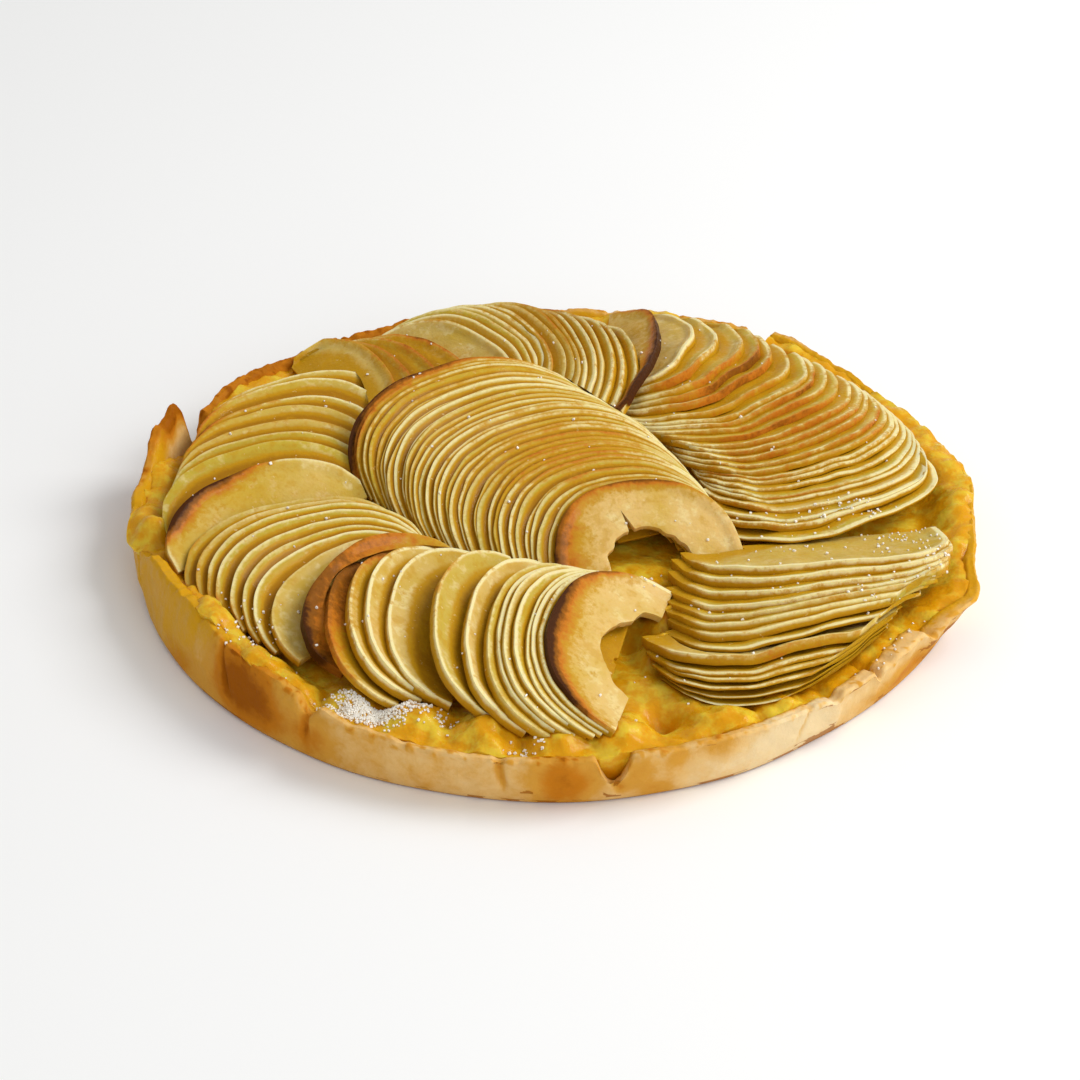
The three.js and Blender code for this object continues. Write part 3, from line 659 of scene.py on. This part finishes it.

# Each station: its place along the fan, then the middle of the cut edge, the turn of that
# edge in degrees, the slice's width, rise and lean in degrees, and the push of its crown.
# Each toast: a place along the fan and its spread, a turn round the rim and its spread,
# how strongly it is browned, and how far in from the rim.
# over: the fans that lie on this one. wave: how much its slices are bent. plump: thickness
# for each step. pale: strength of the painted highlight on the rims. juiceAndShade and
# soakAndShade: how strongly the joints are painted with juice and with shade, and where between
# two rims. tint: 0 rosy to 1 green. flanks: places round the rim painted with juice and shade.
usualFan = {
    "wave": 0.9, "plump": 1.0, "juiceAndShade": 0.60, "soakAndShade": (0.20, 0.90), "tint": 0.60, "endJuice": 0.20,
    "roundness": 2.3, "flanks": [], "notch": None,
}
fans = {
    "fan_centre": {
        "slices": 34, "seed": 11, "over": [], "wave": 0.6, "pale": 0.60, "juiceAndShade": 1.15,
        "soakAndShade": (0.14, 0.80), "tint": 0.55, "endJuice": 0, "endTint": 0.05,
        "stations": [
            (0, -0.022, 0.028, 0.0154, 32, 0.082, 0.034, 29, 0),
            (0.5, 0.003, -0.002, 0.0156, 29, 0.078, 0.033, 28, 0),
            (1, 0.026, -0.032, 0.016, 15, 0.054, 0.028, 27, 0)],
        "notch": {
            "edge": [(0, 0.48), (30, 0.44), (60, 0.42), (90, 0.45), (130, 0.44), (180, 0.46)],
            "slit": 0.26, "slices": 7},
        "toasts": [
            (0, 0.03, 150, 32, 2.2, 0.0030), (0, 0.03, 100, 28, 1.3, 0.0022),
            (0.75, 0.2, 95, 50, 0.5, 0.0014),
            (0, 0.03, 55, 25, 0.7, 0.0014), (0.06, 0.03, 120, 40, 0.8, 0.0012),
            (0.14, 0.05, 110, 50, 0.45, 0.0012), (0.6, 0.3, 85, 45, 0.25, 0.0016),
            (1, 0.02, 170, 45, 1.6, 0.0060), (1, 0.02, 80, 40, 1.0, 0.0022)],
    },
    "fan_front": {
        "slices": 14, "seed": 12, "over": ["fan_centre"], "wave": 0.6, "pale": 1.10,
        "juiceAndShade": 0.85, "soakAndShade": (0.35, 1.00), "tint": 0.40, "endJuice": 0, "endTint": 0.15,
        "stations": [
            (0, -0.043, -0.064, 0.0145, 91, 0.064, 0.0225, 26, 0),
            (0.155, -0.031, -0.061, 0.0148, 87, 0.070, 0.0226, 25, 0),
            (0.23, -0.024, -0.063, 0.0149, 85, 0.071, 0.023, 23, 0),
            (0.31, -0.014, -0.068, 0.015, 84, 0.076, 0.0235, 31, 0),
            (0.39, -0.003, -0.073, 0.015, 83, 0.076, 0.0235, 28, 0),
            (0.62, 0.0095, -0.076, 0.016, 81, 0.072, 0.0257, 27, 0),
            (1, 0.022, -0.080, 0.017, 76, 0.066, 0.0285, 27, 0)],
        "notch": {
            "edge": [(0, 0.64), (15, 0.60), (28, 0.46), (60, 0.42), (90, 0.47), (130, 0.40),
                     (180, 0.50)],
            "slit": 0, "slices": 3},
        "toasts": [
            (0, 0.03, 25, 22, 1.2, 0.0018), (0.08, 0.03, 30, 22, 1.0, 0.0018),
            (0, 0.04, 60, 70, 1.25, 0.02), (0.08, 0.03, 60, 70, 0.4, 0.008),
            (0.16, 0.04, 40, 25, 0.5, 0.0012), (0.3, 0.1, 60, 40, 0.3, 0.0010),
            (1, 0.02, 100, 42, 2.6, 0.0042), (1, 0.02, 150, 25, 1.0, 0.0030),
            (1, 0.02, 40, 20, 1.0, 0.0020), (0.92, 0.04, 90, 45, 0.5, 0.0010)],
    },
    "slice_front_left": {
        "slices": 1, "seed": 20, "over": ["fan_centre", "fan_front"], "wave": 1.0,
        "pale": 0.30, "endJuice": 0.30, "endTint": 0.6,
        "stations": [(0, -0.044, -0.056, 0.0168, 65, 0.065, 0.023, 18.5, 0)],
        "toasts": [(0, 1, 150, 40, 1.2, 0.004), (0, 1, 90, 90, 1.05, 0.03)],
    },
    "fan_left_front": {
        "slices": 8, "seed": 13, "over": ["fan_centre", "fan_front", "slice_front_left"],
        "pale": 0.70, "juiceAndShade": 1.25, "soakAndShade": (0.18, 0.80), "tint": 0.70, "endTint": 0.45,
        "stations": [
            (0, -0.071, -0.031, 0.015, 24, 0.067, 0.026, 16, 0),
            (0.45, -0.062, -0.042, 0.015, 30, 0.065, 0.0265, 18.5, 0),
            (0.7, -0.057, -0.048, 0.015, 38, 0.062, 0.026, 19, 0),
            (1, -0.051, -0.054, 0.015, 52, 0.060, 0.024, 17, 0)],
        "toasts": [(0, 0.2, 150, 35, 0.5, 0.0015), (0.4, 0.3, 170, 25, 0.5, 0.0018)],
    },
    "fan_left_back": {
        "slices": 8, "seed": 14, "over": ["fan_centre", "fan_left_front"],
        "pale": 0.60, "juiceAndShade": 1.25, "soakAndShade": (0.12, 0.72), "tint": 0.75, "endTint": 0.55,
        "stations": [
            (0, -0.075, 0.041, 0.015, 35, 0.066, 0.0245, 16, 0),
            (0.38, -0.079, 0.021, 0.015, 30, 0.061, 0.025, 15.5, 0),
            (0.72, -0.082, 0.004, 0.015, 24, 0.061, 0.025, 17, 0),
            (1, -0.081, -0.014, 0.015, 38, 0.066, 0.023, 27, 0)],
        "toasts": [
            (1, 0.03, 134, 21, 2.6, 0.0034), (1, 0.03, 104, 17, 1.5, 0.0030),
            (1, 0.03, 84, 14, 0.8, 0.0022), (0.28, 0.2, 135, 25, 1.0, 0.0014),
            (0.2, 0.3, 120, 40, 0.5, 0.0012), (0.6, 0.2, 80, 40, 0.35, 0.0010)],
    },
    "slices_back_left": {
        "slices": 4, "seed": 15, "over": ["fan_centre", "fan_left_back"], "pale": 0.80,
        "juiceAndShade": 0.80, "soakAndShade": (0.20, 0.80), "tint": 0.40, "endJuice": 0.5, "endTint": 0.4,
        "stations": [
            (0, -0.051, 0.063, 0.0158, -48, 0.056, 0.023, 18, 0),
            (0.4, -0.060, 0.060, 0.0154, -58, 0.056, 0.023, 19, 0),
            (1, -0.072, 0.061, 0.0148, -62, 0.056, 0.022, 19, 0)],
        "toasts": [(0.5, 1, 90, 60, 0.8, 0.0016), (0.5, 1, 90, 90, 0.12, 0.02)],
    },
    "slice_back_right": {
        "slices": 1, "seed": 21, "over": ["fan_centre", "fan_back"], "wave": 2.6,
        "pale": 0.40, "endJuice": 0.30, "endTint": 0.3,
        "stations": [(0, 0.0105, 0.0714, 0.016, -102, 0.077, 0.024, 28, 0)],
        "toasts": [(0, 1, 90, 90, 1.7, 0.0024), (0, 1, 60, 60, 0.3, 0.02)],
    },
    "fan_back": {
        "slices": 15, "seed": 16, "over": ["fan_centre", "slices_back_left"],
        "plump": 1.3, "pale": 1.15, "juiceAndShade": 0.75, "soakAndShade": (0.15, 0.85), "endTint": 0.5,
        "stations": [
            (0, 0.006, 0.066, 0.015, -88, 0.068, 0.0225, 30, 0),
            (0.28, -0.008, 0.073, 0.015, -79, 0.070, 0.0227, 29, 0),
            (0.5, -0.018, 0.077, 0.015, -67, 0.068, 0.0235, 25, 0),
            (0.72, -0.030, 0.079, 0.015, -54, 0.060, 0.025, 21, 0),
            (1, -0.037, 0.067, 0.0158, -48, 0.061, 0.0235, 26, 0)],
        "toasts": [
            (0.3, 0.1, 150, 25, 1.3, 0.0014), (0, 0.15, 60, 60, 0.3, 0.0010),
            (0.6, 0.3, 100, 50, 0.4, 0.0012)],
    },
    "fan_right": {
        "slices": 24, "seed": 17, "over": ["fan_centre", "fan_back", "slice_back_right"],
        "wave": 2.4, "plump": 1.35, "pale": 1.25, "endJuice": 0.10, "endTint": 0.3,
        "stations": [
            (0, 0.071, 0.013, 0.0148, 216, 0.076, 0.034, 11, -0.1),
            (0.17, 0.073, 0.030, 0.0152, 208, 0.070, 0.033, 11, 0.1),
            (0.35, 0.068, 0.041, 0.0152, 210, 0.068, 0.032, 13, 0.1),
            (0.55, 0.059, 0.057, 0.0152, 208, 0.068, 0.0315, 13, 0.15),
            (0.75, 0.042, 0.071, 0.0152, 218, 0.070, 0.031, 14, 0.1),
            (0.9, 0.033, 0.083, 0.015, 232, 0.062, 0.028, 18, 0.3),
            (1, 0.022, 0.090, 0.0148, 250, 0.050, 0.025, 20, 0.35)],
        "toasts": [
            (0.86, 0.08, 100, 50, 0.9, 0.0016), (0.6, 0.2, 90, 60, 0.5, 0.0011),
            (0.3, 0.25, 50, 40, 0.4, 0.0012), (0.45, 0.2, 130, 30, 0.5, 0.0014)],
    },
    "fan_front_right": {
        "slices": 8, "seed": 18, "over": ["fan_centre", "fan_front", "fan_right"], "wave": 2.0,
        "plump": 1.4, "pale": 1.25, "tint": 0.65, "endTint": 0.6, "roundness": 3.2,
        "flanks": [(0, 30, 0.6)],
        "stations": [
            (0, 0.063, -0.050, 0.0159, 203, 0.072, 0.0265, 16, 0),
            (0.4, 0.067, -0.040, 0.016, 199, 0.077, 0.0266, 19, -0.05),
            (0.7, 0.069, -0.030, 0.016, 194, 0.079, 0.028, 17, -0.1),
            (1, 0.071, -0.020, 0.016, 190, 0.076, 0.0275, 18, -0.1)],
        "toasts": [(0.5, 0.6, 160, 30, 0.35, 0.0030), (0.6, 0.4, 90, 50, 0.2, 0.0010)],
    },
    "slices_front_right": {
        "slices": 6, "seed": 19, "over": ["fan_centre", "fan_front", "fan_front_right"],
        "wave": 2.0, "plump": 1.4, "pale": 1.30, "tint": 0.50, "endTint": 0.5,
        "roundness": 3.2, "flanks": [(0, 25, 0.5)],
        "stations": [
            (0, 0.057, -0.066, 0.014, 206, 0.064, 0.0265, 6, 0),
            (0.4, 0.057, -0.063, 0.0148, 203, 0.068, 0.027, 10, 0),
            (1, 0.057, -0.056, 0.0154, 201, 0.072, 0.028, 15, -0.1)],
        "toasts": [(0.5, 0.9, 100, 60, 0.3, 0.0012)],
    },
}
stationKeys = ("x", "y", "z", "turn", "width", "rise", "lean", "push")


def readStations(stations, at):
    # smooth values between stations, each passed at the mean slope of its two sides
    if len(stations) == 1:
        return dict(zip(stationKeys, stations[0][1:]))
    times = np.array([station[0] for station in stations])
    values = np.array([station[1:] for station in stations], float)
    slopes = np.diff(values, axis=0) / np.diff(times)[:, None]
    tangents = np.concatenate([slopes[:1], (slopes[1:] + slopes[:-1]) / 2, slopes[-1:]])
    index = min(max(int(np.searchsorted(times, at, side="right")) - 1, 0), len(times) - 2)
    gap = times[index + 1] - times[index]
    t = (at - times[index]) / gap
    result = ((2 * t ** 3 - 3 * t ** 2 + 1) * values[index]
              + (t ** 3 - 2 * t ** 2 + t) * gap * tangents[index]
              + (3 * t ** 2 - 2 * t ** 3) * values[index + 1]
              + (t ** 3 - t ** 2) * gap * tangents[index + 1])
    return dict(zip(stationKeys, result))


def fanSlices(fan):
    draw = random.Random(fan["seed"])
    places = max(1, fan["slices"] - 1)
    slices = []
    for index in range(fan["slices"]):
        at = index / places
        if 0 < index < places:
            at += sliceShape["uneven"] * (draw.random() - 0.5) / places
        leaf = readStations(fan["stations"], at)
        ahead = readStations(fan["stations"], min(1, at + 0.5 / places))
        behind = readStations(fan["stations"], max(0, at - 0.5 / places))
        step = math.hypot(ahead["x"] - behind["x"], ahead["y"] - behind["y"])
        leaf["thickness"] = min(sliceShape["leafThickness"],
                                fan["plump"] * step * math.sin(math.radians(leaf["lean"])))
        if index == fan["slices"] - 1:
            leaf["thickness"] = sliceShape["leafThickness"]
        for key, amount in sliceShape["shifts"].items():
            leaf[key] += amount * (draw.random() - 0.5)
        leaf["tint"] = fan["tint"] - 0.2 + 0.9 * draw.random()
        # strength of this slice's painted rim highlight
        leaf["pale"] = fan["pale"] * (0.4 + 0.85 * draw.random())
        leaf["scorch"] = (index / places, 0.01, 30 + 120 * draw.random(), 28,
                          max(0, 1.4 * draw.random() - 0.7), 0.0010)
        leaf["soaked"] = max(0, 0.9 * draw.random() - 0.5)
        leaf["middle"] = np.array([leaf["x"], leaf["y"], leaf["z"]])
        leaf["row"], leaf["at"], leaf["roundness"] = index, at, fan["roundness"]
        slices.append(leaf)
    slices[-1]["tint"] = fan["endTint"]
    return slices


def sliceAxes(leaf):
    turn, lean = math.radians(leaf["turn"]), math.radians(leaf["lean"])
    along = np.array([math.cos(turn), math.sin(turn), 0])
    level = np.array([-math.sin(turn), math.cos(turn), 0])
    up = math.cos(lean) * level + np.array([0, 0, math.sin(lean)])
    out = -math.sin(lean) * level + np.array([0, 0, math.cos(lean)])
    return along, up, out


def modelSlice(rows):
    # half a disc with its rim rounded: an arc drawn in row by row, thickened and bevelled
    piece = startRing("appleSlice", 2 * sliceShape["arcSteps"], 1)
    bpy.ops.mesh.select_mode(type="EDGE")
    bpy.ops.mesh.select_all(action="SELECT")
    bpy.ops.mesh.bisect(plane_co=(0, 0, 0), plane_no=(0, 1, 0), clear_inner=True, threshold=1e-4)
    bpy.ops.mesh.select_all(action="SELECT")
    drawIn(rows)
    bpy.ops.mesh.select_mode(type="VERT")
    turnOutwards()
    if piece.data.polygons[0].normal.z < 0:
        editAll()
        bpy.ops.mesh.flip_normals()
        bpy.ops.object.mode_set(mode="OBJECT")
    applyModifier(piece, "SOLIDIFY", thickness=sliceShape["thickness"], offset=1)
    applyModifier(piece, "BEVEL", width=sliceShape["edgeRound"], segments=3, limit_method="ANGLE",
                  angle_limit=math.radians(50))
    points = readPoints(piece)
    points[:, 2] -= points[:, 2].min()
    writePoints(piece, points)
    print("slice modelled:", len(piece.data.polygons), "faces")
    return piece


def raggedAt(angle, leaf, fan):
    # how far the rim runs in or out: alike on neighbours, with a little of each slice's own
    line = np.stack([np.cos(angle), np.sin(angle), 0 * angle + 0.07 * leaf["row"]], 1)
    own = line * (1, 1, 12)
    return (0.018 * fan["wave"] * noiseAt(line, 0.55, fan["seed"])
            + 0.010 * noiseAt(own, 0.20, fan["seed"] + 3))


def warpAt(across, height, leaf, fan):
    # how far a face is bent out of its plane
    face = np.stack([across, height, 0 * across + 0.0020 * leaf["row"]], 1)
    seed = fan["seed"]
    return fan["wave"] * noises(face, (0.0008, 0.020, seed + 1), (0.0003, 0.008, seed + 2))


def ridgeAt(reach, leaf):
    # how much thicker a slice is along its rim
    return min(sliceShape["ridge"], 0.5 * leaf["thickness"]) * smooth(reach, 0.85, 0.97)


def outlineAt(angle, leaf):
    # a slice's rounded half outline: how far to the side and how high, 1 at most
    power = 2 / leaf["roundness"]
    side = np.sign(np.cos(angle)) * np.abs(np.cos(angle)) ** power
    return side, np.clip(np.sin(angle), 0, 1) ** power


def holeAt(angle, leaf, notch):
    # reach of the edge of the hollow that the core left, by the angle round the slice
    degrees = np.degrees(angle)
    line = np.stack([np.cos(angle), np.sin(angle), 0 * angle + 0.5 * leaf["row"]], 1)
    edge = np.interp(degrees, *zip(*notch["edge"])) + 0.045 * noiseAt(line, 0.32, 9)
    return edge + notch["slit"] * bell(degrees, 101, 2.2)


def shapeLeaf(unit, leaf, fan, last):
    # carries the unit slice to its place, waved and warped a little
    along, up, out = sliceAxes(leaf)
    angle = np.clip(np.arctan2(unit[:, 1], unit[:, 0]), 0, math.pi)
    side, crown = outlineAt(angle, leaf)
    reach = np.hypot(unit[:, 0], unit[:, 1])
    if fan["notch"] and last < fan["notch"]["slices"]:
        hole = holeAt(angle, leaf, fan["notch"])
        inner = sliceShape["rows"][-1]
        reach = hole + (reach - inner) / (1 - inner) * (1 - hole)
    drawn = reach * (1 + raggedAt(angle, leaf, fan))
    height = leaf["rise"] * crown * drawn
    across = side * drawn * leaf["width"] / 2
    lift = unit[:, 2] / sliceShape["thickness"] * (leaf["thickness"] + ridgeAt(reach, leaf))
    lift += warpAt(across, height, leaf, fan)
    points = (leaf["middle"] + (across + leaf["push"] * height)[:, None] * along
              + height[:, None] * up + lift[:, None] * out)
    radius = np.hypot(points[:, 0], points[:, 1])
    over = np.maximum(0, radius - innerRadiusAt(turnOf(points), 0.018) + 0.0008)
    points[:, :2] *= ((radius - 0.9 * over) / radius)[:, None]
    points[:, 2] += 0.2 * over
    return points


def placeOn(points, leaf, fan):
    # angle round a slice, reach (1 at its rim), height above its underside, distance from its middle
    along, up, out = sliceAxes(leaf)
    offset = points - leaf["middle"]
    height = np.maximum(offset @ up, 0)
    across = offset @ along - leaf["push"] * height
    level, rise = np.abs(across) / (leaf["width"] / 2), height / leaf["rise"]
    power = leaf["roundness"]
    angle = np.arctan2(rise ** (power / 2), np.sign(across) * level ** (power / 2))
    reach = (level ** power + rise ** power) ** (1 / power) / (1 + raggedAt(angle, leaf, fan))
    lift = offset @ out - warpAt(across, height, leaf, fan)
    return np.degrees(angle), reach, lift, np.hypot(across, height)


def paintLeaf(piece, leaf, fan):
    # browning, juice with painted shade in the joints and painted highlights on the rims, from each
    # point's place on its own slice
    points = readPoints(piece)
    angle, reach, lift, distance = placeOn(points, leaf, fan)
    share = lift / (leaf["thickness"] + ridgeAt(reach, leaf))
    inward = (1 - reach) * distance / np.maximum(reach, 0.2)
    toast = np.zeros(len(points))
    for at, atSpread, turn, turnSpread, strength, width in [*fan["toasts"], leaf["scorch"]]:
        amount = strength * bell(leaf["at"], at, atSpread) * bell(angle, turn, turnSpread)
        toast += amount * np.exp(-np.maximum(inward, 0) / width)
    # painted highlight along the top corner of each rim
    edge = leaf["pale"] * smooth(reach, 0.945, 0.985) * smooth(share, 0.25, 0.8)
    # juice and painted shade low on the rim side, where it meets the slice below
    groove = 0.9 * smooth(reach, 0.96, 0.99) * (1 - smooth(share, 0.0, 0.3))
    last = fan["slices"] - 1 - leaf["row"]
    if not last:
        groove = np.maximum(groove, fan["endJuice"] * smooth(inward, 0.0015, 0.008))
    # juice and painted shade on the flanks of the fan
    for turn, turnSpread, amount in fan["flanks"]:
        groove = np.maximum(groove, amount * bell(angle, turn, turnSpread))
    hidden = np.zeros(len(points))
    if last:
        ahead = fan["leaves"][leaf["row"] + 1]
        _, aheadReach, _, aheadDistance = placeOn(points, ahead, fan)
        # juice and painted shade on the face, towards the next slice's rim
        gap = (aheadReach - 1) * aheadDistance / np.maximum(aheadReach, 0.2)
        across = np.maximum(inward, 0) / (np.maximum(inward, 0) + np.maximum(gap, 0) + 0.0002)
        groove = np.maximum(groove, fan["juiceAndShade"] * smooth(across, *fan["soakAndShade"]) * (share > 0.4))
        groove = np.maximum(groove, leaf["soaked"] * smooth(inward, 0.0003, 0.0015))
        # what lies under the next slice, given painted shade with the occlusion
        hidden = (gap < -0.0012).astype(float)
        if fan["notch"] and last >= fan["notch"]["slices"]:
            # juice and painted shade where the hollow of the slices ahead shows this one
            hidden *= reach > 0.62
            groove = np.where(reach < 0.6, 0.7, groove)
    tint = np.full(len(points), leaf["tint"])
    paint(piece, toast=toast, edge=edge, groove=groove, hidden=hidden, tint=tint)


def rimRow(leaf, lift, grow, count=17):
    # points round a slice's rim, a little outside it, and down to the compote at both ends
    along, up, out = sliceAxes(leaf)
    side, crown = outlineAt(np.pi * (1 - np.arange(count) / (count - 1)), leaf)
    height = (leaf["rise"] + grow) * crown
    across = side * (leaf["width"] / 2 + grow) + leaf["push"] * height
    row = leaf["middle"] + lift * out + across[:, None] * along + height[:, None] * up
    feet = row[[0, -1]].copy()
    feet[:, 2] = 0.011
    return np.concatenate([feet[:1], row, feet[1:]])


def coverOf(leaves, gap=0.0007):
    # a closed hull over a fan, which cuts away what passes under it
    rows = [rimRow(leaves[0], -gap, gap)]
    rows += [rimRow(leaf, leaf["thickness"] + gap, gap) for leaf in leaves]
    count = len(rows[0])
    last = (len(rows) - 1) * count
    faces = []
    for low in range(0, last, count):
        for index in range(count):
            after = (index + 1) % count
            faces.append((low + index, low + count + index, low + count + after, low + after))
    faces += [tuple(range(count)), tuple(reversed(range(last, last + count)))]
    cover = makePiece("cover", np.concatenate(rows).tolist(), faces)
    shaper = bmesh.new()
    shaper.from_mesh(cover.data)
    bmesh.ops.triangulate(shaper, faces=shaper.faces)
    bmesh.ops.recalc_face_normals(shaper, faces=shaper.faces)
    shaper.to_mesh(cover.data)
    shaper.free()
    return cover


def boxesMeet(first, second):
    return bool(np.all(first.min(0) <= second.max(0)) and np.all(second.min(0) <= first.max(0)))


def keepLargest(piece):
    # leaves out the scraps of a slice that was cut through
    shaper = bmesh.new()
    shaper.from_mesh(piece.data)
    shaper.verts.ensure_lookup_table()
    seen, groups = set(), []
    for start in shaper.verts:
        if start in seen:
            continue
        group = [start]
        seen.add(start)
        for vert in group:         # grows while it is read
            for edge in vert.link_edges:
                other = edge.other_vert(vert)
                if other not in seen:
                    seen.add(other)
                    group.append(other)
        groups.append(group)
    scraps = [vert for group in sorted(groups, key=len)[:-1] for vert in group]
    if scraps:
        bmesh.ops.delete(shaper, geom=scraps, context="VERTS")
        shaper.to_mesh(piece.data)
    shaper.free()


def modelFan(name, fan, unitSlices, covers):
    leaves = []
    for index, leaf in enumerate(fan["leaves"]):
        close = fan["slices"] > sliceShape["closeFan"] and index < fan["slices"] - 1
        unitSlice = unitSlices["fewRows" if close else "rows"]
        piece = unitSlice.copy()
        piece.data = unitSlice.data.copy()
        piece.name = f"{name}.{index}"
        bpy.context.collection.objects.link(piece)
        points = shapeLeaf(readPoints(unitSlice), leaf, fan, fan["slices"] - 1 - index)
        writePoints(piece, points)
        for other in fan["over"]:
            if boxesMeet(points, readPoints(covers[other])):
                applyModifier(piece, "BOOLEAN", operation="DIFFERENCE", solver="MANIFOLD",
                              object=covers[other])
        keepLargest(piece)
        if len(piece.data.vertices):
            paintLeaf(piece, leaf, fan)
            leaves.append(piece)
        else:
            bpy.data.objects.remove(piece)
    takeUp(leaves[-1])
    for piece in leaves:
        piece.select_set(True)
    if len(leaves) > 1:
        bpy.ops.object.join()
    whole = bpy.context.object
    whole.name = name.replace("_", "-") + "-baked"
    smoothShade(50)
    print(name, "modelled:", len(leaves), "slices,", len(whole.data.polygons), "faces")
    return whole


crevices = {
    "reach": 0.0055, "rays": 9, "start": 0.00012,
    "downward": -0.4,      # what looks further down than this is painted in full shade
    "hidden": 0.4,         # painted shade for what lies under the next slice
}


def paintCrevices(pieces):
    # how much of the space close above each point is taken up by other surfaces, painted into the
    # colours as shade
    corners, faces = [], []
    for piece in pieces:
        start = len(corners)
        corners += readPoints(piece).tolist()
        faces += [[start + index for index in face.vertices] for face in piece.data.polygons]
    tree = BVHTree.FromPolygons(corners, faces, all_triangles=False)
    golden = math.pi * (3 - math.sqrt(5))
    rays, reach, directions = crevices["rays"], crevices["reach"], []
    for index in range(rays):
        height = 1 - (index + 0.5) / rays * 0.93
        ring = math.sqrt(1 - height * height)
        directions.append((ring * math.cos(golden * index), ring * math.sin(golden * index), height))
    for piece in pieces:
        points, normals = readPoints(piece), readPoints(piece, "normal")
        covered = normals[:, 2] < crevices["downward"]
        values = np.ones(len(points))
        layer = piece.data.attributes.get("hidden")
        if layer:
            hidden = np.zeros(len(points), dtype=np.float32)
            layer.data.foreach_get("value", hidden)
            covered |= hidden > 0.5
            values[hidden > 0.5] = crevices["hidden"]
            piece.data.attributes.remove(layer)
        for index in np.flatnonzero(~covered):
            axis = Vector(normals[index])
            side = axis.orthogonal().normalized()
            other = axis.cross(side)
            begin = Vector(points[index]) + axis * crevices["start"]
            hits = 0
            for x, y, z in directions:
                distance = tree.ray_cast(begin, side * x + other * y + axis * z, reach)[3]
                if distance is not None:
                    hits += 1 - 0.5 * distance / reach
            values[index] = hits / rays
        paint(piece, crevice=values)
    print("crevices painted")
    return tree


sugar = {
    "seed": 31, "smallest": 0.00028, "largest": 0.00072, "above": 0.05, "limit": 0.116,
    "raised": 0.3,        # share of its size that a grain's middle is above what it lies on
    "heaps": 2,           # the first patches, kept off the slices
    # x, y, spreads and number of grains of each patch
    "patches": [
        (-0.0500, -0.0975, 0.0050, 0.0030, 900), (-0.045, -0.0985, 0.0095, 0.0040, 420),
        (-0.0086, -0.1145, 0.003, 0.0015, 40),
        (-0.088, -0.066, 0.009, 0.006, 60), (0.066, -0.025, 0.006, 0.004, 16),
        (0.098, -0.020, 0.006, 0.006, 50), (0.106, -0.036, 0.004, 0.006, 36),
        (0.082, -0.010, 0.009, 0.003, 45), (0.091, -0.064, 0.007, 0.010, 50),
        (0.020, -0.040, 0.006, 0.005, 22)],
    "loose": 170, "looseRadius": 0.108,
}


def modelGrain():
    # one grain: a small block with its corners taken off
    deselectAll()
    bpy.ops.mesh.primitive_cube_add(size=1, location=(0, 0, 0))
    grain = bpy.context.object
    editAll()
    bpy.ops.mesh.bevel(offset=0.12, segments=1, affect="EDGES")
    bpy.ops.object.mode_set(mode="OBJECT")
    corners = readPoints(grain)
    faces = [list(face.vertices) for face in grain.data.polygons]
    bpy.data.objects.remove(grain)
    return corners, faces


def scatterSugar(tree, bedFaces):
    # grains laid on whatever is highest under each place, each turned and sized by itself
    draw = np.random.RandomState(sugar["seed"])
    corners, faces = modelGrain()
    places = [draw.normal((x, y), (wide, deep), (count, 2))
              for x, y, wide, deep, count in sugar["patches"]]
    turns, reaches = draw.uniform(0, 2 * math.pi, sugar["loose"]), draw.uniform(0, 1, sugar["loose"])
    reaches = sugar["looseRadius"] * np.sqrt(reaches)
    places.append(np.stack([reaches * np.cos(turns), reaches * np.sin(turns)], 1))
    allCorners, allFaces = [], []
    heaped = sum(patch[4] for patch in sugar["patches"][:sugar["heaps"]])
    for number, (x, y) in enumerate(np.concatenate(places)):
        size = draw.uniform(sugar["smallest"], sugar["largest"])
        shape = draw.uniform(0.6, 1.3, 3)
        twist = draw.uniform(0, 2 * math.pi, 3)
        spot, normal, face = tree.ray_cast(Vector((x, y, sugar["above"])), Vector((0, 0, -1)))[:3]
        onSlice = number < heaped and spot is not None and face >= bedFaces
        if spot is None or math.hypot(x, y) > sugar["limit"] or onSlice:
            continue
        cosines, sines = np.cos(twist), np.sin(twist)
        about = np.array([[cosines[0], -sines[0], 0], [sines[0], cosines[0], 0], [0, 0, 1]])
        tilt = np.array([[1, 0, 0], [0, cosines[1], -sines[1]], [0, sines[1], cosines[1]]])
        start = len(allCorners) * len(corners)
        middle = np.array(spot) + np.array(normal) * sugar["raised"] * size
        allCorners.append(corners * shape * size @ (about @ tilt).T + middle)
        allFaces += [[start + index for index in face] for face in faces]
    piece = makePiece("sugarGrains", np.concatenate(allCorners).tolist(), allFaces)
    piece.data.materials.append(sugarFinish())
    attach(piece, body)
    print("sugar scattered:", len(allCorners), "grains")


def finishPiece(piece, node, material):
    piece.data.materials.clear()         # a cut leaves an empty slot behind
    piece.data.materials.append(material)
    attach(piece, body)
    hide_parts(node)


makeCamera()
makeLights()
crustPiece = modelCrust()
compotePiece = modelCompote()

unitSlices = {rows: modelSlice(sliceShape[rows]) for rows in ("rows", "fewRows")}
for name, fan in fans.items():
    fans[name] = {**usualFan, **fan}
    fans[name]["leaves"] = fanSlices(fans[name])
covers = {name: coverOf(fan["leaves"]) for name, fan in fans.items()}
fanPieces = {name: modelFan(name, fan, unitSlices, covers) for name, fan in fans.items()}
for piece in (*covers.values(), *unitSlices.values()):
    bpy.data.objects.remove(piece)

apple = bakedApple()
finishPiece(crustPiece, "crust", bakedCrust())
finishPiece(compotePiece, "compote", cookedCompote())
for name, piece in fanPieces.items():
    finishPiece(piece, name, apple)
surface = paintCrevices([crustPiece, compotePiece, *fanPieces.values()])
scatterSugar(surface, len(crustPiece.data.polygons) + len(compotePiece.data.polygons))
